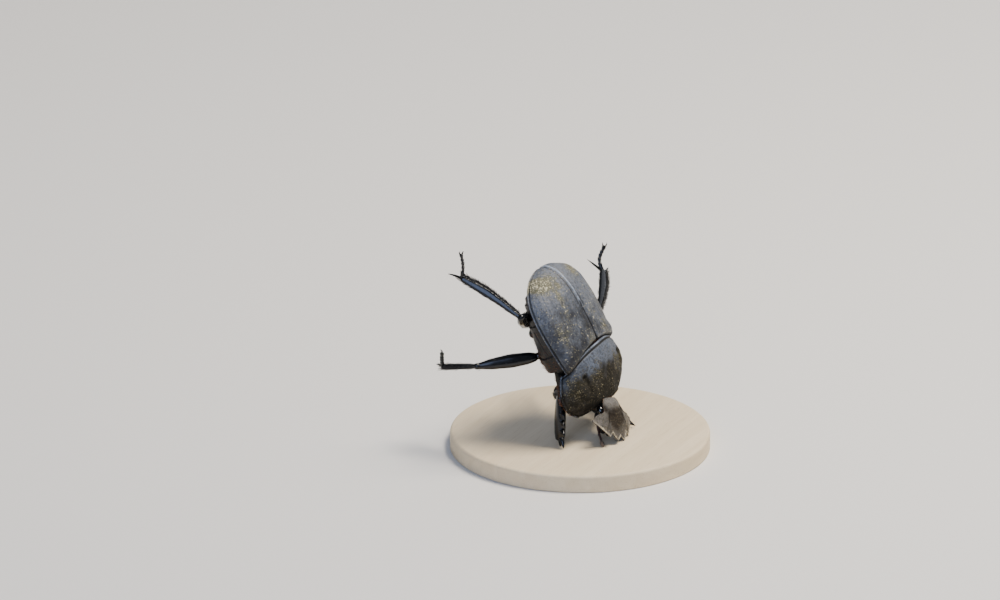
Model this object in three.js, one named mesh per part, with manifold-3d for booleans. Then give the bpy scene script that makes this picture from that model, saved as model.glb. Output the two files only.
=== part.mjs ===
// A dung beetle of the large African ball-rolling kind, as a life-size display model.
// It stands head down on its fore legs with its hind legs raised, as it does to push a ball.
// Millimetres, +Z up. The beetle faces -Y and its left side is +X.
// The origin is the centre of the underside of the flat base.

import * as THREE from "three";
import { mergeVertices } from "three/addons/utils/BufferGeometryUtils.js";
import Module from "manifold-3d";

const wasm = await Module();
wasm.setup();

const V = (x, y, z) => new THREE.Vector3(x, y, z);
const rad = THREE.MathUtils.degToRad;

// ---------- driving dimensions ----------

const LENGTH = 32; // front teeth to tail tip of the body, stretched out
const GAP = 0.1; // the thin cut between neighbouring pieces

const BASE = { radius: 22, thick: 3, bevel: 0.5 };

// Body frames: X to the beetle's left, Y towards the tail, Z towards its back.
const ELYTRA = {
  length: 0.52 * LENGTH,
  halfWidth: 0.298 * LENGTH,
  rise: 0.129 * LENGTH,
  widestAt: 0.447, // share of the length
  baseWidth: 0.921, // share of the greatest width
  boxiness: 2.29, // power of the cross section's superellipse
  marginLift: 0.6, // how far the side margin climbs towards the tail
  wall: 0.8,
  baseScoop: 1.45, // how far the middle of the base is set back for the pronotum
};
const BELLY = { depth: 0.17 * LENGTH, deepestAt: 0.1 };
const PRONOTUM = {
  length: 0.251 * LENGTH,
  halfWidth: 0.3 * LENGTH,
  rise: 0.144 * LENGTH,
  widestAt: 0.44,
  baseWidth: 0.829,
  frontWidth: 0.638,
  frontRise: 0.708,
  drop: 1.5, // how far the side margin sinks towards the head
  depth: 0.14 * LENGTH,
  baseBulge: 2.1,
  cornerReach: 0.1, // how far the front corners stand ahead of the middle
};
const HEAD = {
  length: 0.229 * LENGTH,
  halfWidth: 0.197 * LENGTH,
  arch: 0.78, // how far the cheek tips sit below the middle
  plate: 0.55, // thickness of the spade's rim
};

// ---------- stance ----------

const WAIST = V(0, -1, BASE.thick + 13.62); // middle of the wing cases' base, at margin level
const HIND_TURN = { pitch: rad(56.2), roll: rad(1) };
const FORE_AT = V(-0.25, -0.22, -0.63);
const FORE_TURN = { pitch: rad(9.3), yaw: rad(4), roll: rad(-5.2) };
const NECK = V(0, 2 - PRONOTUM.length, 0.3); // the point about which the head turns
const HEAD_TURN = { pitch: rad(-7.3), yaw: rad(-20.3), roll: rad(7.2) };
const HEAD_REACH = V(0, -2, 1); // from that point to the middle of the head's back edge

// Leg joints, in the frame of the body part that carries the leg. "thigh" and "shin" are the
// ways the broad sides of femur and tibia face, and "spur" runs from the ankle to the spur's tip.
const LEGS = {
  fore: {
    right: {
      coxa: V(-2.4, -4.0, -4.8),
      hip: V(-3.1, -4.2, -5.5),
      knee: V(-7.9, -2.95, -1.7),
      ankle: V(-9.44, -10.3, -4.6),
      thigh: V(0.3, 0, 1),
      shin: V(-0.6, 0, 0.8),
      spur: V(0.2, -1.5, -0.5),
    },
    left: {
      coxa: V(2.4, -4.0, -4.8),
      hip: V(3.1, -4.2, -5.5),
      knee: V(9.16, -8.37, -6.3),
      ankle: V(4.14, -14.04, -0.48),
      thigh: V(-0.3, 0, 1),
      shin: V(0.83, -0.5, 0.23),
      spur: V(-0.32, -0.9, 1.96),
    },
  },
  mid: {
    right: {
      coxa: V(-3.9, 3.2, -4.7),
      hip: V(-5.2, 3.9, -5.2),
      knee: V(-11.3, 7.7, -12.8),
      ankle: V(-8.45, 10.1, -20.4),
      toe: V(-11.13, 12.46, -17.56),
      thigh: V(0.3, 0.86, 0.4),
      shin: V(-0.85, 0.06, 0.53),
      spur: V(1.1, 0.9, -1.6),
    },
    left: {
      coxa: V(3.9, 3.2, -4.7),
      hip: V(5.2, 3.9, -5.2),
      knee: V(12.6, 4.9, -11.6),
      ankle: V(12.8, 11.5, -8.6),
      toe: V(13.4, 15.2, -7.2),
      thigh: V(-0.3, 0.86, 0.4),
      shin: V(0.85, 0.06, -0.5),
      spur: V(1.0, 1.6, 0.6),
    },
  },
  hind: {
    right: {
      coxa: V(-2.9, 7.6, -4.1),
      hip: V(-2.0, 9.2, -5.3),
      knee: V(-11.4, 11.4, -0.5),
      ankle: V(-12.5, 22.2, -6.1),
      toe: V(-12.26, 25.69, -3.87),
      thigh: V(0.5, 0.44, 0.74),
      shin: V(0.5, 0.44, 0.74),
      spur: V(0.6, 1.6, -2.2),
    },
    left: {
      coxa: V(2.9, 7.6, -4.1),
      hip: V(2.6, 8.6, -5.5),
      knee: V(10.93, 4.53, -0.1),
      ankle: V(21.84, 9.75, -1.59),
      toe: V(24.4, 13.1, -0.45),
      thigh: V(-0.3, 0.3, 0.9),
      shin: V(0.42, -0.5, 0.76),
      spur: V(0.71, 2.85, -2.09),
    },
  },
};

// Limb shapes: [share of length, breadth, thickness, bow towards the broad side's edge].
const FEMUR = {
  fore: {
    knob: 0.72,
    stations: [[0, 1.5, 1.2], [0.14, 2.2, 1.8], [0.45, 2.6, 2.0], [0.78, 2.0, 1.6], [1, 1.2, 1.1]],
  },
  mid: {
    knob: 0.58,
    stations: [[0, 1.2, 1.0], [0.12, 1.9, 1.4], [0.42, 2.3, 1.6], [0.78, 1.7, 1.3], [1, 0.9, 0.8]],
  },
  hind: {
    knob: 0.7,
    stations: [[0, 1.2, 1.1], [0.12, 1.8, 1.4], [0.5, 2.5, 1.7], [0.84, 2.2, 1.5], [1, 1.2, 1.1]],
  },
};
const TIBIA = {
  fore: [[0, 1.0, 1.0], [0.18, 1.3, 1.25], [0.5, 1.9, 1.5], [0.85, 2.2, 1.5], [1, 1.4, 1.2]],
  mid: [[0, 0.7, 0.62], [0.15, 0.8, 0.62], [0.6, 1.0, 0.7], [0.93, 1.5, 0.8], [1, 1.3, 0.7]],
  hind: [
    [0, 0.75, 0.7, 0],
    [0.12, 0.8, 0.7, 0.05],
    [0.35, 1.1, 0.75, 0.25],
    [0.6, 1.4, 0.75, 0.3],
    [0.85, 1.15, 0.75, 0.1],
    [1, 0.85, 0.7, 0],
  ],
};
// Digging teeth of the fore shin: [share of the length where it roots, how far its tip stands
// out from the shin's middle line, lean of the tip towards the foot].
const SHIN_TEETH = [
  [0.4, 1.7, 0.5],
  [0.58, 1.95, 0.6],
  [0.76, 2.15, 0.8],
  [0.93, 1.9, 1.7],
];

// ---------- solids ----------

function toSolid(geometry) {
  const g = geometry.clone();
  for (const name of Object.keys(g.attributes)) {
    if (name !== "position") g.deleteAttribute(name);
  }
  const merged = mergeVertices(g, 1e-4);
  const mesh = new wasm.Mesh({
    numProp: 3,
    vertProperties: new Float32Array(merged.attributes.position.array),
    triVerts: new Uint32Array(merged.index.array),
  });
  return new wasm.Manifold(mesh);
}

function toGeometry(solid) {
  const mesh = solid.getMesh();
  const g = new THREE.BufferGeometry();
  g.setAttribute("position", new THREE.BufferAttribute(new Float32Array(mesh.vertProperties), 3));
  g.setIndex(new THREE.BufferAttribute(new Uint32Array(mesh.triVerts), 1));
  g.computeVertexNormals();
  return g;
}

const fuse = (...geometries) => wasm.Manifold.union(geometries.map(toSolid));
const cut = (solid, ...cutters) => cutters.reduce((rest, cutter) => rest.subtract(cutter), solid);

// Joins closed rings of points, all with the same count, into one closed surface that faces out.
function loft(rings) {
  const count = rings[0].length;
  const points = rings.flat();
  const index = [];
  for (let r = 0; r + 1 < rings.length; r++) {
    for (let i = 0; i < count; i++) {
      const a = r * count + i;
      const b = r * count + ((i + 1) % count);
      index.push(a, b, b + count, a, b + count, a + count);
    }
  }
  for (const r of [0, rings.length - 1]) {
    const middle = rings[r].reduce((sum, p) => sum.add(p), V(0, 0, 0)).divideScalar(count);
    points.push(middle);
    for (let i = 0; i < count; i++) {
      const a = r * count + i;
      const b = r * count + ((i + 1) % count);
      if (r === 0) index.push(b, a, points.length - 1);
      else index.push(a, b, points.length - 1);
    }
  }
  if (signedVolume(points, index) < 0) {
    for (let i = 0; i < index.length; i += 3) {
      [index[i + 1], index[i + 2]] = [index[i + 2], index[i + 1]];
    }
  }
  const g = new THREE.BufferGeometry().setFromPoints(points);
  g.setIndex(index);
  g.computeVertexNormals();
  return g;
}

function signedVolume(points, index) {
  let sum = 0;
  for (let i = 0; i < index.length; i += 3) {
    const [a, b, c] = [points[index[i]], points[index[i + 1]], points[index[i + 2]]];
    sum += a.dot(b.clone().cross(c));
  }
  return sum / 6;
}

// An ellipsoid of radii r (a Vector3) about the point at.
function egg(at, r, across = 14, down = 9, grow = 0) {
  const g = new THREE.SphereGeometry(1, across, down);
  g.scale(r.x + grow, r.y + grow, r.z + grow);
  g.translate(at.x, at.y, at.z);
  return g;
}

// A cone from the middle of its root to its tip.
function thorn(root, tip, radius, sides = 5) {
  const way = tip.clone().sub(root);
  const g = new THREE.ConeGeometry(radius, way.length(), sides);
  g.translate(0, way.length() / 2, 0);
  g.applyQuaternion(new THREE.Quaternion().setFromUnitVectors(V(0, 1, 0), way.normalize()));
  return g.translate(root.x, root.y, root.z);
}

// A limb along X from stations of [share of length, breadth in Y, thickness in Z, bow in Y].
function rod(length, stations, sides = 8, grow = 0) {
  return loft(
    stations.map(([share, breadth, thickness, bow = 0]) =>
      Array.from({ length: sides }, (_, i) => {
        const angle = ((i + 0.5) / sides) * 2 * Math.PI;
        return V(
          share * length,
          bow + (breadth / 2 + grow) * Math.cos(angle),
          (thickness / 2 + grow) * Math.sin(angle),
        );
      }),
    ),
  );
}

// A point of a superellipse: power 2 is a plain ellipse, a higher one is boxier.
function arc(halfWidth, rise, angle, power) {
  const c = Math.cos(angle);
  const s = Math.sin(angle);
  return [
    halfWidth * Math.sign(c) * Math.abs(c) ** (2 / power),
    rise * Math.sign(s) * Math.abs(s) ** (2 / power),
  ];
}

// 1 at the peak, falling to 0 at reach away from it.
function bow(distance, reach, power) {
  return Math.sqrt(Math.max(0, 1 - Math.min(1, Math.abs(distance) / reach) ** power));
}

const steps = (n) => Array.from({ length: n + 1 }, (_, i) => i / n);
// From 0 to 1 with the last steps close together, for a rounded end.
const roundEnd = (n) => steps(n).map((t) => Math.sin((t * Math.PI) / 2));

// ---------- wing cases and trunk ----------

const { widestAt } = ELYTRA;
const elytraWidth = (t) =>
  t < widestAt
    ? ELYTRA.halfWidth * (1 - (1 - ELYTRA.baseWidth) * ((widestAt - t) / widestAt) ** 2)
    : ELYTRA.halfWidth * bow(t - widestAt, 1.004 - widestAt, 2.82);
const elytraRise = (t) =>
  t < widestAt
    ? ELYTRA.rise * (1 - 0.11 * ((widestAt - t) / widestAt) ** 2)
    : ELYTRA.rise * bow(t - widestAt, 1.01 - widestAt, 2.56);
const marginLevel = (t) => ELYTRA.marginLift * t * t;
const baseScoop = (x, t) => ELYTRA.baseScoop * (1 - (x / elytraWidth(t)) ** 2) * (1 - t) ** 3;

function elytron(side) {
  const turns = steps(8).map((t) => (1 - t) * (Math.PI / 2));
  const rings = roundEnd(14).map((t) => {
    const w = elytraWidth(t);
    const h = elytraRise(t);
    const level = marginLevel(t);
    const wall = ELYTRA.wall;
    const outer = turns.map((angle) => {
      const [x, z] = arc(w, h, angle, ELYTRA.boxiness);
      return V(side * Math.max(x, GAP / 2), t * ELYTRA.length + baseScoop(x, t), level + z);
    });
    const wIn = Math.max(w - wall, 0.35 * w);
    const hIn = Math.max(h - wall, 0.35 * h);
    const inner = turns.map((angle) => {
      const [x, z] = arc(wIn, hIn, angle, ELYTRA.boxiness);
      const y = t * (ELYTRA.length - wall) + baseScoop(x, t);
      return V(side * Math.max(x, GAP / 2), y, level + z);
    });
    return [...outer, ...inner.reverse()];
  });
  return loft(rings);
}

const bellyDepth = (t) => BELLY.depth * bow(t - BELLY.deepestAt, 1.04 - BELLY.deepestAt, 2);
const bellyBoxiness = (t) => 2.8 - 0.9 * Math.min(1, t / 0.5);

// The part of the trunk under the wing cases between two shares of their length.
function trunk(from, to, rows) {
  const clear = ELYTRA.wall + GAP;
  const dorsal = steps(8).map((t) => t * Math.PI);
  const ventral = steps(8).slice(1, -1).map((t) => Math.PI + t * Math.PI);
  return loft(
    steps(rows).map((share) => {
      const t = from + (to - from) * share;
      const w = Math.max(elytraWidth(t) - clear, 0.34 * elytraWidth(t));
      const h = Math.max(elytraRise(t) - clear - 0.1, 0.3 * elytraRise(t));
      const level = marginLevel(t) - GAP;
      const y = t * (ELYTRA.length - clear);
      const top = dorsal.map((angle) => {
        const [x, z] = arc(w, h, angle, ELYTRA.boxiness);
        return V(x, y + baseScoop(x, t), level + z);
      });
      const under = ventral.map((angle) => {
        const [x, z] = arc(w, bellyDepth(t), angle, bellyBoxiness(t));
        return V(x, y + baseScoop(x, t), level + z);
      });
      return [...top, ...under];
    }),
  );
}

// ---------- prothorax ----------

const pronotumWidth = (s) =>
  s < PRONOTUM.widestAt
    ? PRONOTUM.halfWidth *
      (1 - (1 - PRONOTUM.baseWidth) * ((PRONOTUM.widestAt - s) / PRONOTUM.widestAt) ** 2)
    : PRONOTUM.halfWidth *
      (1 - (1 - PRONOTUM.frontWidth) * ((s - PRONOTUM.widestAt) / (1 - PRONOTUM.widestAt)) ** 2.4);
const pronotumRise = (s) =>
  s < 0.3
    ? PRONOTUM.rise * (1 - 0.13 * ((0.3 - s) / 0.3) ** 2)
    : PRONOTUM.rise * (1 - (1 - PRONOTUM.frontRise) * ((s - 0.3) / 0.7) ** 2.2);

function prothoraxShape(grow = 0) {
  const dorsal = steps(14).map((t) => t * Math.PI);
  const ventral = steps(10).slice(1, -1).map((t) => Math.PI + t * Math.PI);
  return loft(
    steps(8).map((s) => {
      const w = pronotumWidth(s) + grow;
      const h = pronotumRise(s) + grow;
      const y = (x) => {
        const u = (x / w) ** 2;
        const bulge = (PRONOTUM.baseBulge * (1 - u) + grow) * (1 - s) ** 2;
        return -s * PRONOTUM.length + bulge - (PRONOTUM.cornerReach * u + grow) * s ** 2;
      };
      const level = -PRONOTUM.drop * s;
      const top = dorsal.map((angle) => {
        const [x, z] = arc(w, h, angle, 1.89);
        return V(x, y(x), level + z);
      });
      const under = ventral.map((angle) => {
        const x = w * Math.cos(angle);
        const keel = (1 - (x / w) ** 2) ** 1.2;
        return V(x, y(x), level - 0.25 - (PRONOTUM.depth * (1 - 0.3 * s) + grow) * keel);
      });
      return [...top, ...under];
    }),
  );
}

// ---------- head ----------

// Half of the spade's outline from the notch in the middle of the front edge round to the back:
// across and forward, as shares of the head's half width and length.
const SPADE = [
  [0.0, 0.955],
  [0.17, 1.01],
  [0.33, 0.9],
  [0.41, 0.83],
  [0.5, 0.895],
  [0.66, 0.78],
  [0.86, 0.65],
  [1.0, 0.49],
  [0.81, 0.42],
  [0.52, 0.36],
  [0.39, 0.1],
  [0.3, 0.0],
];

function spade(grow = 0) {
  const half = SPADE.map(
    ([x, y]) => new THREE.Vector2(x * (HEAD.halfWidth + grow), -y * (HEAD.length + grow)),
  );
  const other = half.slice(1).reverse().map((p) => new THREE.Vector2(-p.x, p.y));
  const outline = [...half, ...other];
  const centre = new THREE.Vector2(0, -0.42 * HEAD.length);
  const rows = [1, 0.8, 0.45];
  const dome = (x, share) => 0.75 * (1 - share ** 2) - HEAD.arch * (x / HEAD.halfWidth) ** 2;
  const ring = (share, rim) =>
    outline.map((p) => {
      const q = p.clone().sub(centre).multiplyScalar(share).add(centre);
      return V(q.x, q.y, dome(q.x, share) + rim);
    });
  const top = rows.map((share) => ring(share, grow)).reverse();
  const bottom = rows.map((share) => ring(share, -HEAD.plate - grow - 1.2 * (1 - share ** 2)));
  return loft([...top, ...bottom]);
}

// The braincase behind the spade, which runs back into the prothorax, and the mouth under it.
const BRAINCASE = { at: V(0, 0.1, -1.5), size: V(2.7, 2.6, 1.75) };
const MOUTH = { at: V(0, -3.2, -1.6), size: V(2.7, 2.3, 1.3) };

const headShape = (grow = 0) =>
  fuse(
    spade(grow),
    egg(BRAINCASE.at, BRAINCASE.size, 10, 8, grow),
    egg(MOUTH.at, MOUTH.size, 10, 7, grow),
  );

const EYE = { at: V(2.8, -1.95, -0.4), size: V(0.6, 0.85, 0.6) };

const eyeShape = (side, grow = 0) =>
  egg(V(side * EYE.at.x, EYE.at.y, EYE.at.z), EYE.size, 8, 6, grow);

// A feeler: a long first joint, a thin middle and a club of three leaves.
const FEELER = {
  right: [V(-2.9, -2.5, -2.3), V(-3.0, -4.0, -2.8), V(-2.6, -5.3, -2.5), V(-3.4, -6.5, -1.9)],
  left: [V(2.9, -2.5, -2.3), V(3.3, -3.2, -3.0), V(2.9, -3.7, -3.5), V(2.3, -4.0, -3.6)],
};
function antenna(points) {
  const stem = new THREE.TubeGeometry(new THREE.CatmullRomCurve3(points), 5, 0.26, 5, false);
  const end = points[3];
  const way = end.clone().sub(points[2]).normalize();
  const leaf = (shift) => {
    const g = egg(V(shift, 0, 0), V(0.3, 0.75, 0.5), 6, 5);
    g.applyQuaternion(new THREE.Quaternion().setFromUnitVectors(V(0, 1, 0), way));
    return g.translate(...end.clone().addScaledVector(way, 0.45).toArray());
  };
  return fuse(capped(stem, 5), leaf(-0.3), leaf(0), leaf(0.3));
}

// The jaws' lower lip with a pair of palps.
function mouthparts() {
  const lip = egg(V(0, -4.2, -2.5), V(1.5, 1.2, 0.7), 8, 6);
  const palp = (side) => thorn(V(side * 1.0, -4.4, -2.7), V(side * 1.4, -5.7, -2.9), 0.35);
  return fuse(lip, palp(1), palp(-1));
}

// Closes the two open ends of a tube made with the given number of sides.
function capped(tube, sides) {
  const ring = (row) =>
    Array.from({ length: sides }, (_, i) =>
      V().fromBufferAttribute(tube.attributes.position, row * (sides + 1) + i),
    );
  const rows = tube.attributes.position.count / (sides + 1);
  return loft(Array.from({ length: rows }, (_, row) => ring(row)));
}

// ---------- limbs ----------

function femur(kind, length, grow = 0) {
  const { knob, stations } = FEMUR[kind];
  const knee = egg(V(length, 0, 0), V(knob, knob, knob), 8, 6, grow);
  return fuse(rod(length, stations, 8, grow), knee);
}

// The shin with its spur; a fore shin has four digging teeth as well.
function tibia(kind, length, spur) {
  const parts = [rod(length, TIBIA[kind], 8)];
  if (kind === "fore") {
    for (const [share, height, lean] of SHIN_TEETH) {
      const root = V(share * length - 0.1, 0.4, 0);
      parts.push(thorn(root, V(root.x + lean, height, 0), 0.6, 5));
    }
  }
  const spurRoot = V(length - 0.45, 0, 0);
  parts.push(thorn(spurRoot, V(length, 0, 0).add(spur), 0.34));
  return fuse(...parts);
}

// The foot: five joints, each narrow at its root, and a pair of claws.
function tarsus(length, breadth) {
  const joints = [0, 0.3, 0.49, 0.65, 0.79, 1];
  const stations = [];
  for (let i = 0; i < 5; i++) {
    const [a, b] = [joints[i], joints[i + 1]];
    stations.push([a, 0.62 * breadth, 0.55]);
    stations.push([a + 0.72 * (b - a), breadth, 0.6]);
  }
  stations.push([1, 0.5 * breadth, 0.5]);
  const claw = (side) =>
    thorn(V(length - 0.3, side * 0.12, 0), V(length + 0.6, side * 0.4, -0.3), 0.27, 4);
  return fuse(rod(length, stations, 5), claw(1), claw(-1));
}

// ---------- the model ----------

const CUTICLE = new THREE.MeshStandardMaterial({ color: 0x3b3d40, roughness: 0.6, metalness: 0 });
const LIMB = new THREE.MeshStandardMaterial({ color: 0x17181b, roughness: 0.35, metalness: 0 });
const STAND = new THREE.MeshStandardMaterial({ color: 0xd8d2c4, roughness: 0.6, metalness: 0 });

const model = new THREE.Group();

function add(parent, name, shape, material) {
  const geometry = shape.isBufferGeometry ? shape : toGeometry(shape);
  const mesh = new THREE.Mesh(geometry, material);
  mesh.name = name;
  parent.add(mesh);
  return mesh;
}

// A group under parent whose X runs from one point to another, with Y towards the edge side.
// The points and the side are in the frame of body, which holds parent.
function limbFrame(body, parent, from, to, edge) {
  const x = to.clone().sub(from).normalize();
  const z = x.clone().cross(edge).normalize();
  const y = z.clone().cross(x);
  const wanted = new THREE.Matrix4().makeBasis(x, y, z).setPosition(from);
  model.updateMatrixWorld(true);
  const held = body.matrixWorld.clone().invert().multiply(parent.matrixWorld);
  const group = new THREE.Group();
  held.invert().multiply(wanted).decompose(group.position, group.quaternion, group.scale);
  parent.add(group);
  return group;
}

// The place of one group in the frame of another, for cutting one solid with another.
function placeIn(holder, group) {
  model.updateMatrixWorld(true);
  return holder.matrixWorld.clone().invert().multiply(group.matrixWorld).elements;
}

const matrixOf = (elements) => new THREE.Matrix4().fromArray(elements);

// The largest piece of a solid that a cut has split.
function biggest(solid) {
  return solid.decompose().reduce((best, piece) => (piece.volume() > best.volume() ? piece : best));
}

const disc = new THREE.LatheGeometry(
  [
    new THREE.Vector2(0, 0),
    new THREE.Vector2(BASE.radius, 0),
    new THREE.Vector2(BASE.radius, BASE.thick - BASE.bevel),
    new THREE.Vector2(BASE.radius - BASE.bevel, BASE.thick),
    new THREE.Vector2(0, BASE.thick),
  ],
  40,
).rotateX(Math.PI / 2);
add(model, "stand_base", disc, STAND);

const hindBody = new THREE.Group();
hindBody.position.copy(WAIST);
hindBody.rotation.set(HIND_TURN.pitch, HIND_TURN.roll, 0);
model.add(hindBody);

const foreBody = new THREE.Group();
foreBody.position.copy(FORE_AT);
foreBody.rotation.set(FORE_TURN.pitch, FORE_TURN.roll, FORE_TURN.yaw, "XZY");
hindBody.add(foreBody);

const headGroup = new THREE.Group();
headGroup.rotation.set(HEAD_TURN.pitch, HEAD_TURN.roll, HEAD_TURN.yaw, "XZY");
headGroup.position.copy(NECK).add(HEAD_REACH.clone().applyQuaternion(headGroup.quaternion));
foreBody.add(headGroup);

// Everything that stands on the base ends in a small flat just above it.
const underfoot = toSolid(
  new THREE.BoxGeometry(90, 90, 10).translate(0, 0, BASE.thick + GAP / 2 - 5),
);
const worn = (group, solid) => cut(solid, underfoot.transform(placeIn(group, model)));

// Legs, and what they take out of the body.
const COXA = {
  fore: { size: V(2.0, 1.5, 1.5), turn: 0 },
  mid: { size: V(1.2, 1.9, 1.1), turn: 0.35 },
  hind: { size: V(2.5, 1.1, 1.1), turn: 0 },
};

function coxaShape(kind, side, at, grow = 0) {
  const { size, turn } = COXA[kind];
  const g = egg(V(0, 0, 0), size, 10, 6, grow);
  g.rotateZ(side * turn);
  return g.translate(at.x, at.y, at.z);
}

const hindCuts = [];
const foreCuts = [];
for (const [kind, pair] of Object.entries(LEGS)) {
  const body = kind === "fore" ? foreBody : hindBody;
  const cuts = kind === "fore" ? foreCuts : hindCuts;
  for (const [sideName, leg] of Object.entries(pair)) {
    const side = sideName === "left" ? 1 : -1;
    const named = (piece) => `${kind}_${piece}_${sideName}`;
    add(body, named("coxa"), coxaShape(kind, side, leg.coxa), LIMB);
    const hipSocket = toSolid(coxaShape(kind, side, leg.coxa, GAP));
    cuts.push(hipSocket);

    const thigh = limbFrame(body, body, leg.hip, leg.knee, leg.thigh);
    const thighLength = leg.hip.distanceTo(leg.knee);
    const bone = cut(femur(kind, thighLength), hipSocket.transform(placeIn(thigh, body)));
    add(thigh, named("femur"), biggest(bone), LIMB);
    if (kind !== "mid") cuts.push(femur(kind, thighLength, GAP).transform(placeIn(body, thigh)));

    const shin = limbFrame(body, thigh, leg.knee, leg.ankle, leg.shin);
    const spur = leg.spur.clone().transformDirection(matrixOf(placeIn(shin, body)));
    spur.multiplyScalar(leg.spur.length());
    const shinLength = leg.knee.distanceTo(leg.ankle);
    const socket = femur(kind, thighLength, GAP).transform(placeIn(shin, thigh));
    const shinSolid = biggest(cut(tibia(kind, shinLength, spur), socket));
    add(shin, named("tibia"), kind === "fore" ? worn(shin, shinSolid) : shinSolid, LIMB);
    if (kind === "fore") {
      const room = toSolid(rod(shinLength, TIBIA.fore, 8, GAP));
      cuts.push(room.transform(placeIn(body, shin)));
    }

    if (leg.toe) {
      const foot = limbFrame(body, shin, leg.ankle, leg.toe, leg.shin);
      const footSolid = tarsus(leg.ankle.distanceTo(leg.toe), 0.7);
      const grownShin = shinSolid.transform(placeIn(foot, shin));
      add(foot, named("tarsus"), biggest(cut(footSolid, grownShin)), LIMB);
    }
  }
}

// Head, with its eyes let into it.
const eyes = [1, -1].map((side) => toSolid(eyeShape(side, GAP)));
const headSolid = worn(headGroup, cut(headShape(), ...eyes));
add(headGroup, "head", headSolid, CUTICLE);
add(headGroup, "antenna_left", biggest(cut(antenna(FEELER.left), headShape(GAP))), LIMB);
add(headGroup, "antenna_right", biggest(cut(antenna(FEELER.right), headShape(GAP))), LIMB);
add(headGroup, "mouthparts", biggest(cut(mouthparts(), headShape(GAP))), LIMB);
add(headGroup, "eye_left", eyeShape(1), LIMB);
add(headGroup, "eye_right", eyeShape(-1), LIMB);

// Prothorax, hollowed for the head and the fore legs.
const headHole = wasm.Manifold.union([headShape(GAP), ...eyes]).transform(placeIn(foreBody, headGroup));
add(foreBody, "prothorax", cut(toSolid(prothoraxShape()), headHole, ...foreCuts), CUTICLE);

// Trunk. The wing cases and the trunk give way to the prothorax.
const shoulder = toSolid(prothoraxShape(GAP)).transform(placeIn(hindBody, foreBody));
const collar = (grow) => egg(V(0, 0.3, -1), V(6, 1.7, 3.5), 12, 8, grow);
add(hindBody, "waist", cut(toSolid(collar(0)), shoulder), LIMB);
add(hindBody, "elytron_left", cut(toSolid(elytron(1)), shoulder), CUTICLE);
add(hindBody, "elytron_right", cut(toSolid(elytron(-1)), shoulder), CUTICLE);
const thorax = cut(toSolid(trunk(0, 0.495, 4)), shoulder, toSolid(collar(GAP)), ...hindCuts);
add(hindBody, "thorax", thorax, LIMB);
add(hindBody, "abdomen", cut(toSolid(trunk(0.505, 0.9, 5)), ...hindCuts), LIMB);
add(hindBody, "pygidium", trunk(0.91, 0.995, 3), LIMB);

export default model;
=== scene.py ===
import math

import bpy
import numpy as np
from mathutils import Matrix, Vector


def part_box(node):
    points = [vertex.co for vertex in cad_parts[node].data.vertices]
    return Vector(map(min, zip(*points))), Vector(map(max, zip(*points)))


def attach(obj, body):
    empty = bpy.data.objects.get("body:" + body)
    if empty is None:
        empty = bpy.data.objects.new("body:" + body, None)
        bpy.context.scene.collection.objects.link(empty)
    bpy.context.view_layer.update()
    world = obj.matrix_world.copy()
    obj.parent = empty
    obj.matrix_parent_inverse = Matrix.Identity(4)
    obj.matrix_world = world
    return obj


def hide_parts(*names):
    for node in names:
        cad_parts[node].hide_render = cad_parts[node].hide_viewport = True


# A ball-rolling dung beetle, head down with its hind legs raised, as a life-size display model.
# Sizes here are millimetres; make_piece turns them into metres. The beetle faces -Y, its left is +X.

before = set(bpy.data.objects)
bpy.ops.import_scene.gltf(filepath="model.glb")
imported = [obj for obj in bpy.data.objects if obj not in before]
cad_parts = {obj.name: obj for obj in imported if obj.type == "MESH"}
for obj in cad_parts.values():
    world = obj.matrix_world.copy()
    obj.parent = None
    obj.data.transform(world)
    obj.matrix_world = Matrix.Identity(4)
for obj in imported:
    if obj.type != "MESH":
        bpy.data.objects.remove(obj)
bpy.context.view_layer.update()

MM = 0.001
BASE_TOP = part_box("stand_base")[1].z / MM
BASE_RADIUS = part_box("stand_base")[1].x / MM


# ---------- the body's own frames ----------
# X to the beetle's left, Y towards its tail, Z towards its back. Each is a 4x4 matrix.


def turned(x=0.0, y=0.0, z=0.0, order="XYZ"):
    parts = {}
    for axis, degrees in zip("XYZ", (x, y, z)):
        c, s = math.cos(math.radians(degrees)), math.sin(math.radians(degrees))
        parts[axis] = {
            "X": np.array([[1, 0, 0], [0, c, -s], [0, s, c]]),
            "Y": np.array([[c, 0, s], [0, 1, 0], [-s, 0, c]]),
            "Z": np.array([[c, -s, 0], [s, c, 0], [0, 0, 1]]),
        }[axis]
    first, second, third = (parts[axis] for axis in order)
    return first @ second @ third


def placed(at, rotation):
    matrix = np.eye(4)
    matrix[:3, :3] = rotation
    matrix[:3, 3] = at
    return matrix


def carry(matrix, points):
    points = np.asarray(points, float)
    return points @ matrix[:3, :3].T + matrix[:3, 3]


LENGTH = 32.0
# half is half the width; widest and highest are shares of the length; round is the power of the
# section's curve, 2 for a plain ellipse.
ELYTRA = {
    "length": 0.52 * LENGTH, "half": 0.298 * LENGTH, "rise": 0.129 * LENGTH, "widest": 0.447,
    "round": 2.29,
}
PRONOTUM = {
    "length": 0.251 * LENGTH, "half": 0.3 * LENGTH, "rise": 0.144 * LENGTH, "widest": 0.44,
    "highest": 0.3, "round": 1.89,
}
HEAD = {"length": 0.229 * LENGTH, "half": 0.197 * LENGTH, "arch": 0.78, "plate": 0.5}
BELLY = {"depth": 0.17 * LENGTH, "deepest": 0.1}

HIND = placed((0, -1, BASE_TOP + 13.62), turned(56.2, 1, 0))
FORE = HIND @ placed((-0.25, -0.22, -0.63), turned(9.3, -5.2, 4, "XZY"))
HEAD_TURN = turned(-7.3, 7.2, -20.3, "XZY")
NECK = np.array([0, 2 - PRONOTUM["length"], 0.3])
CROWN = FORE @ placed(NECK + HEAD_TURN @ np.array([0, -2, 1]), HEAD_TURN)


# ---------- shapes ----------


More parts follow.
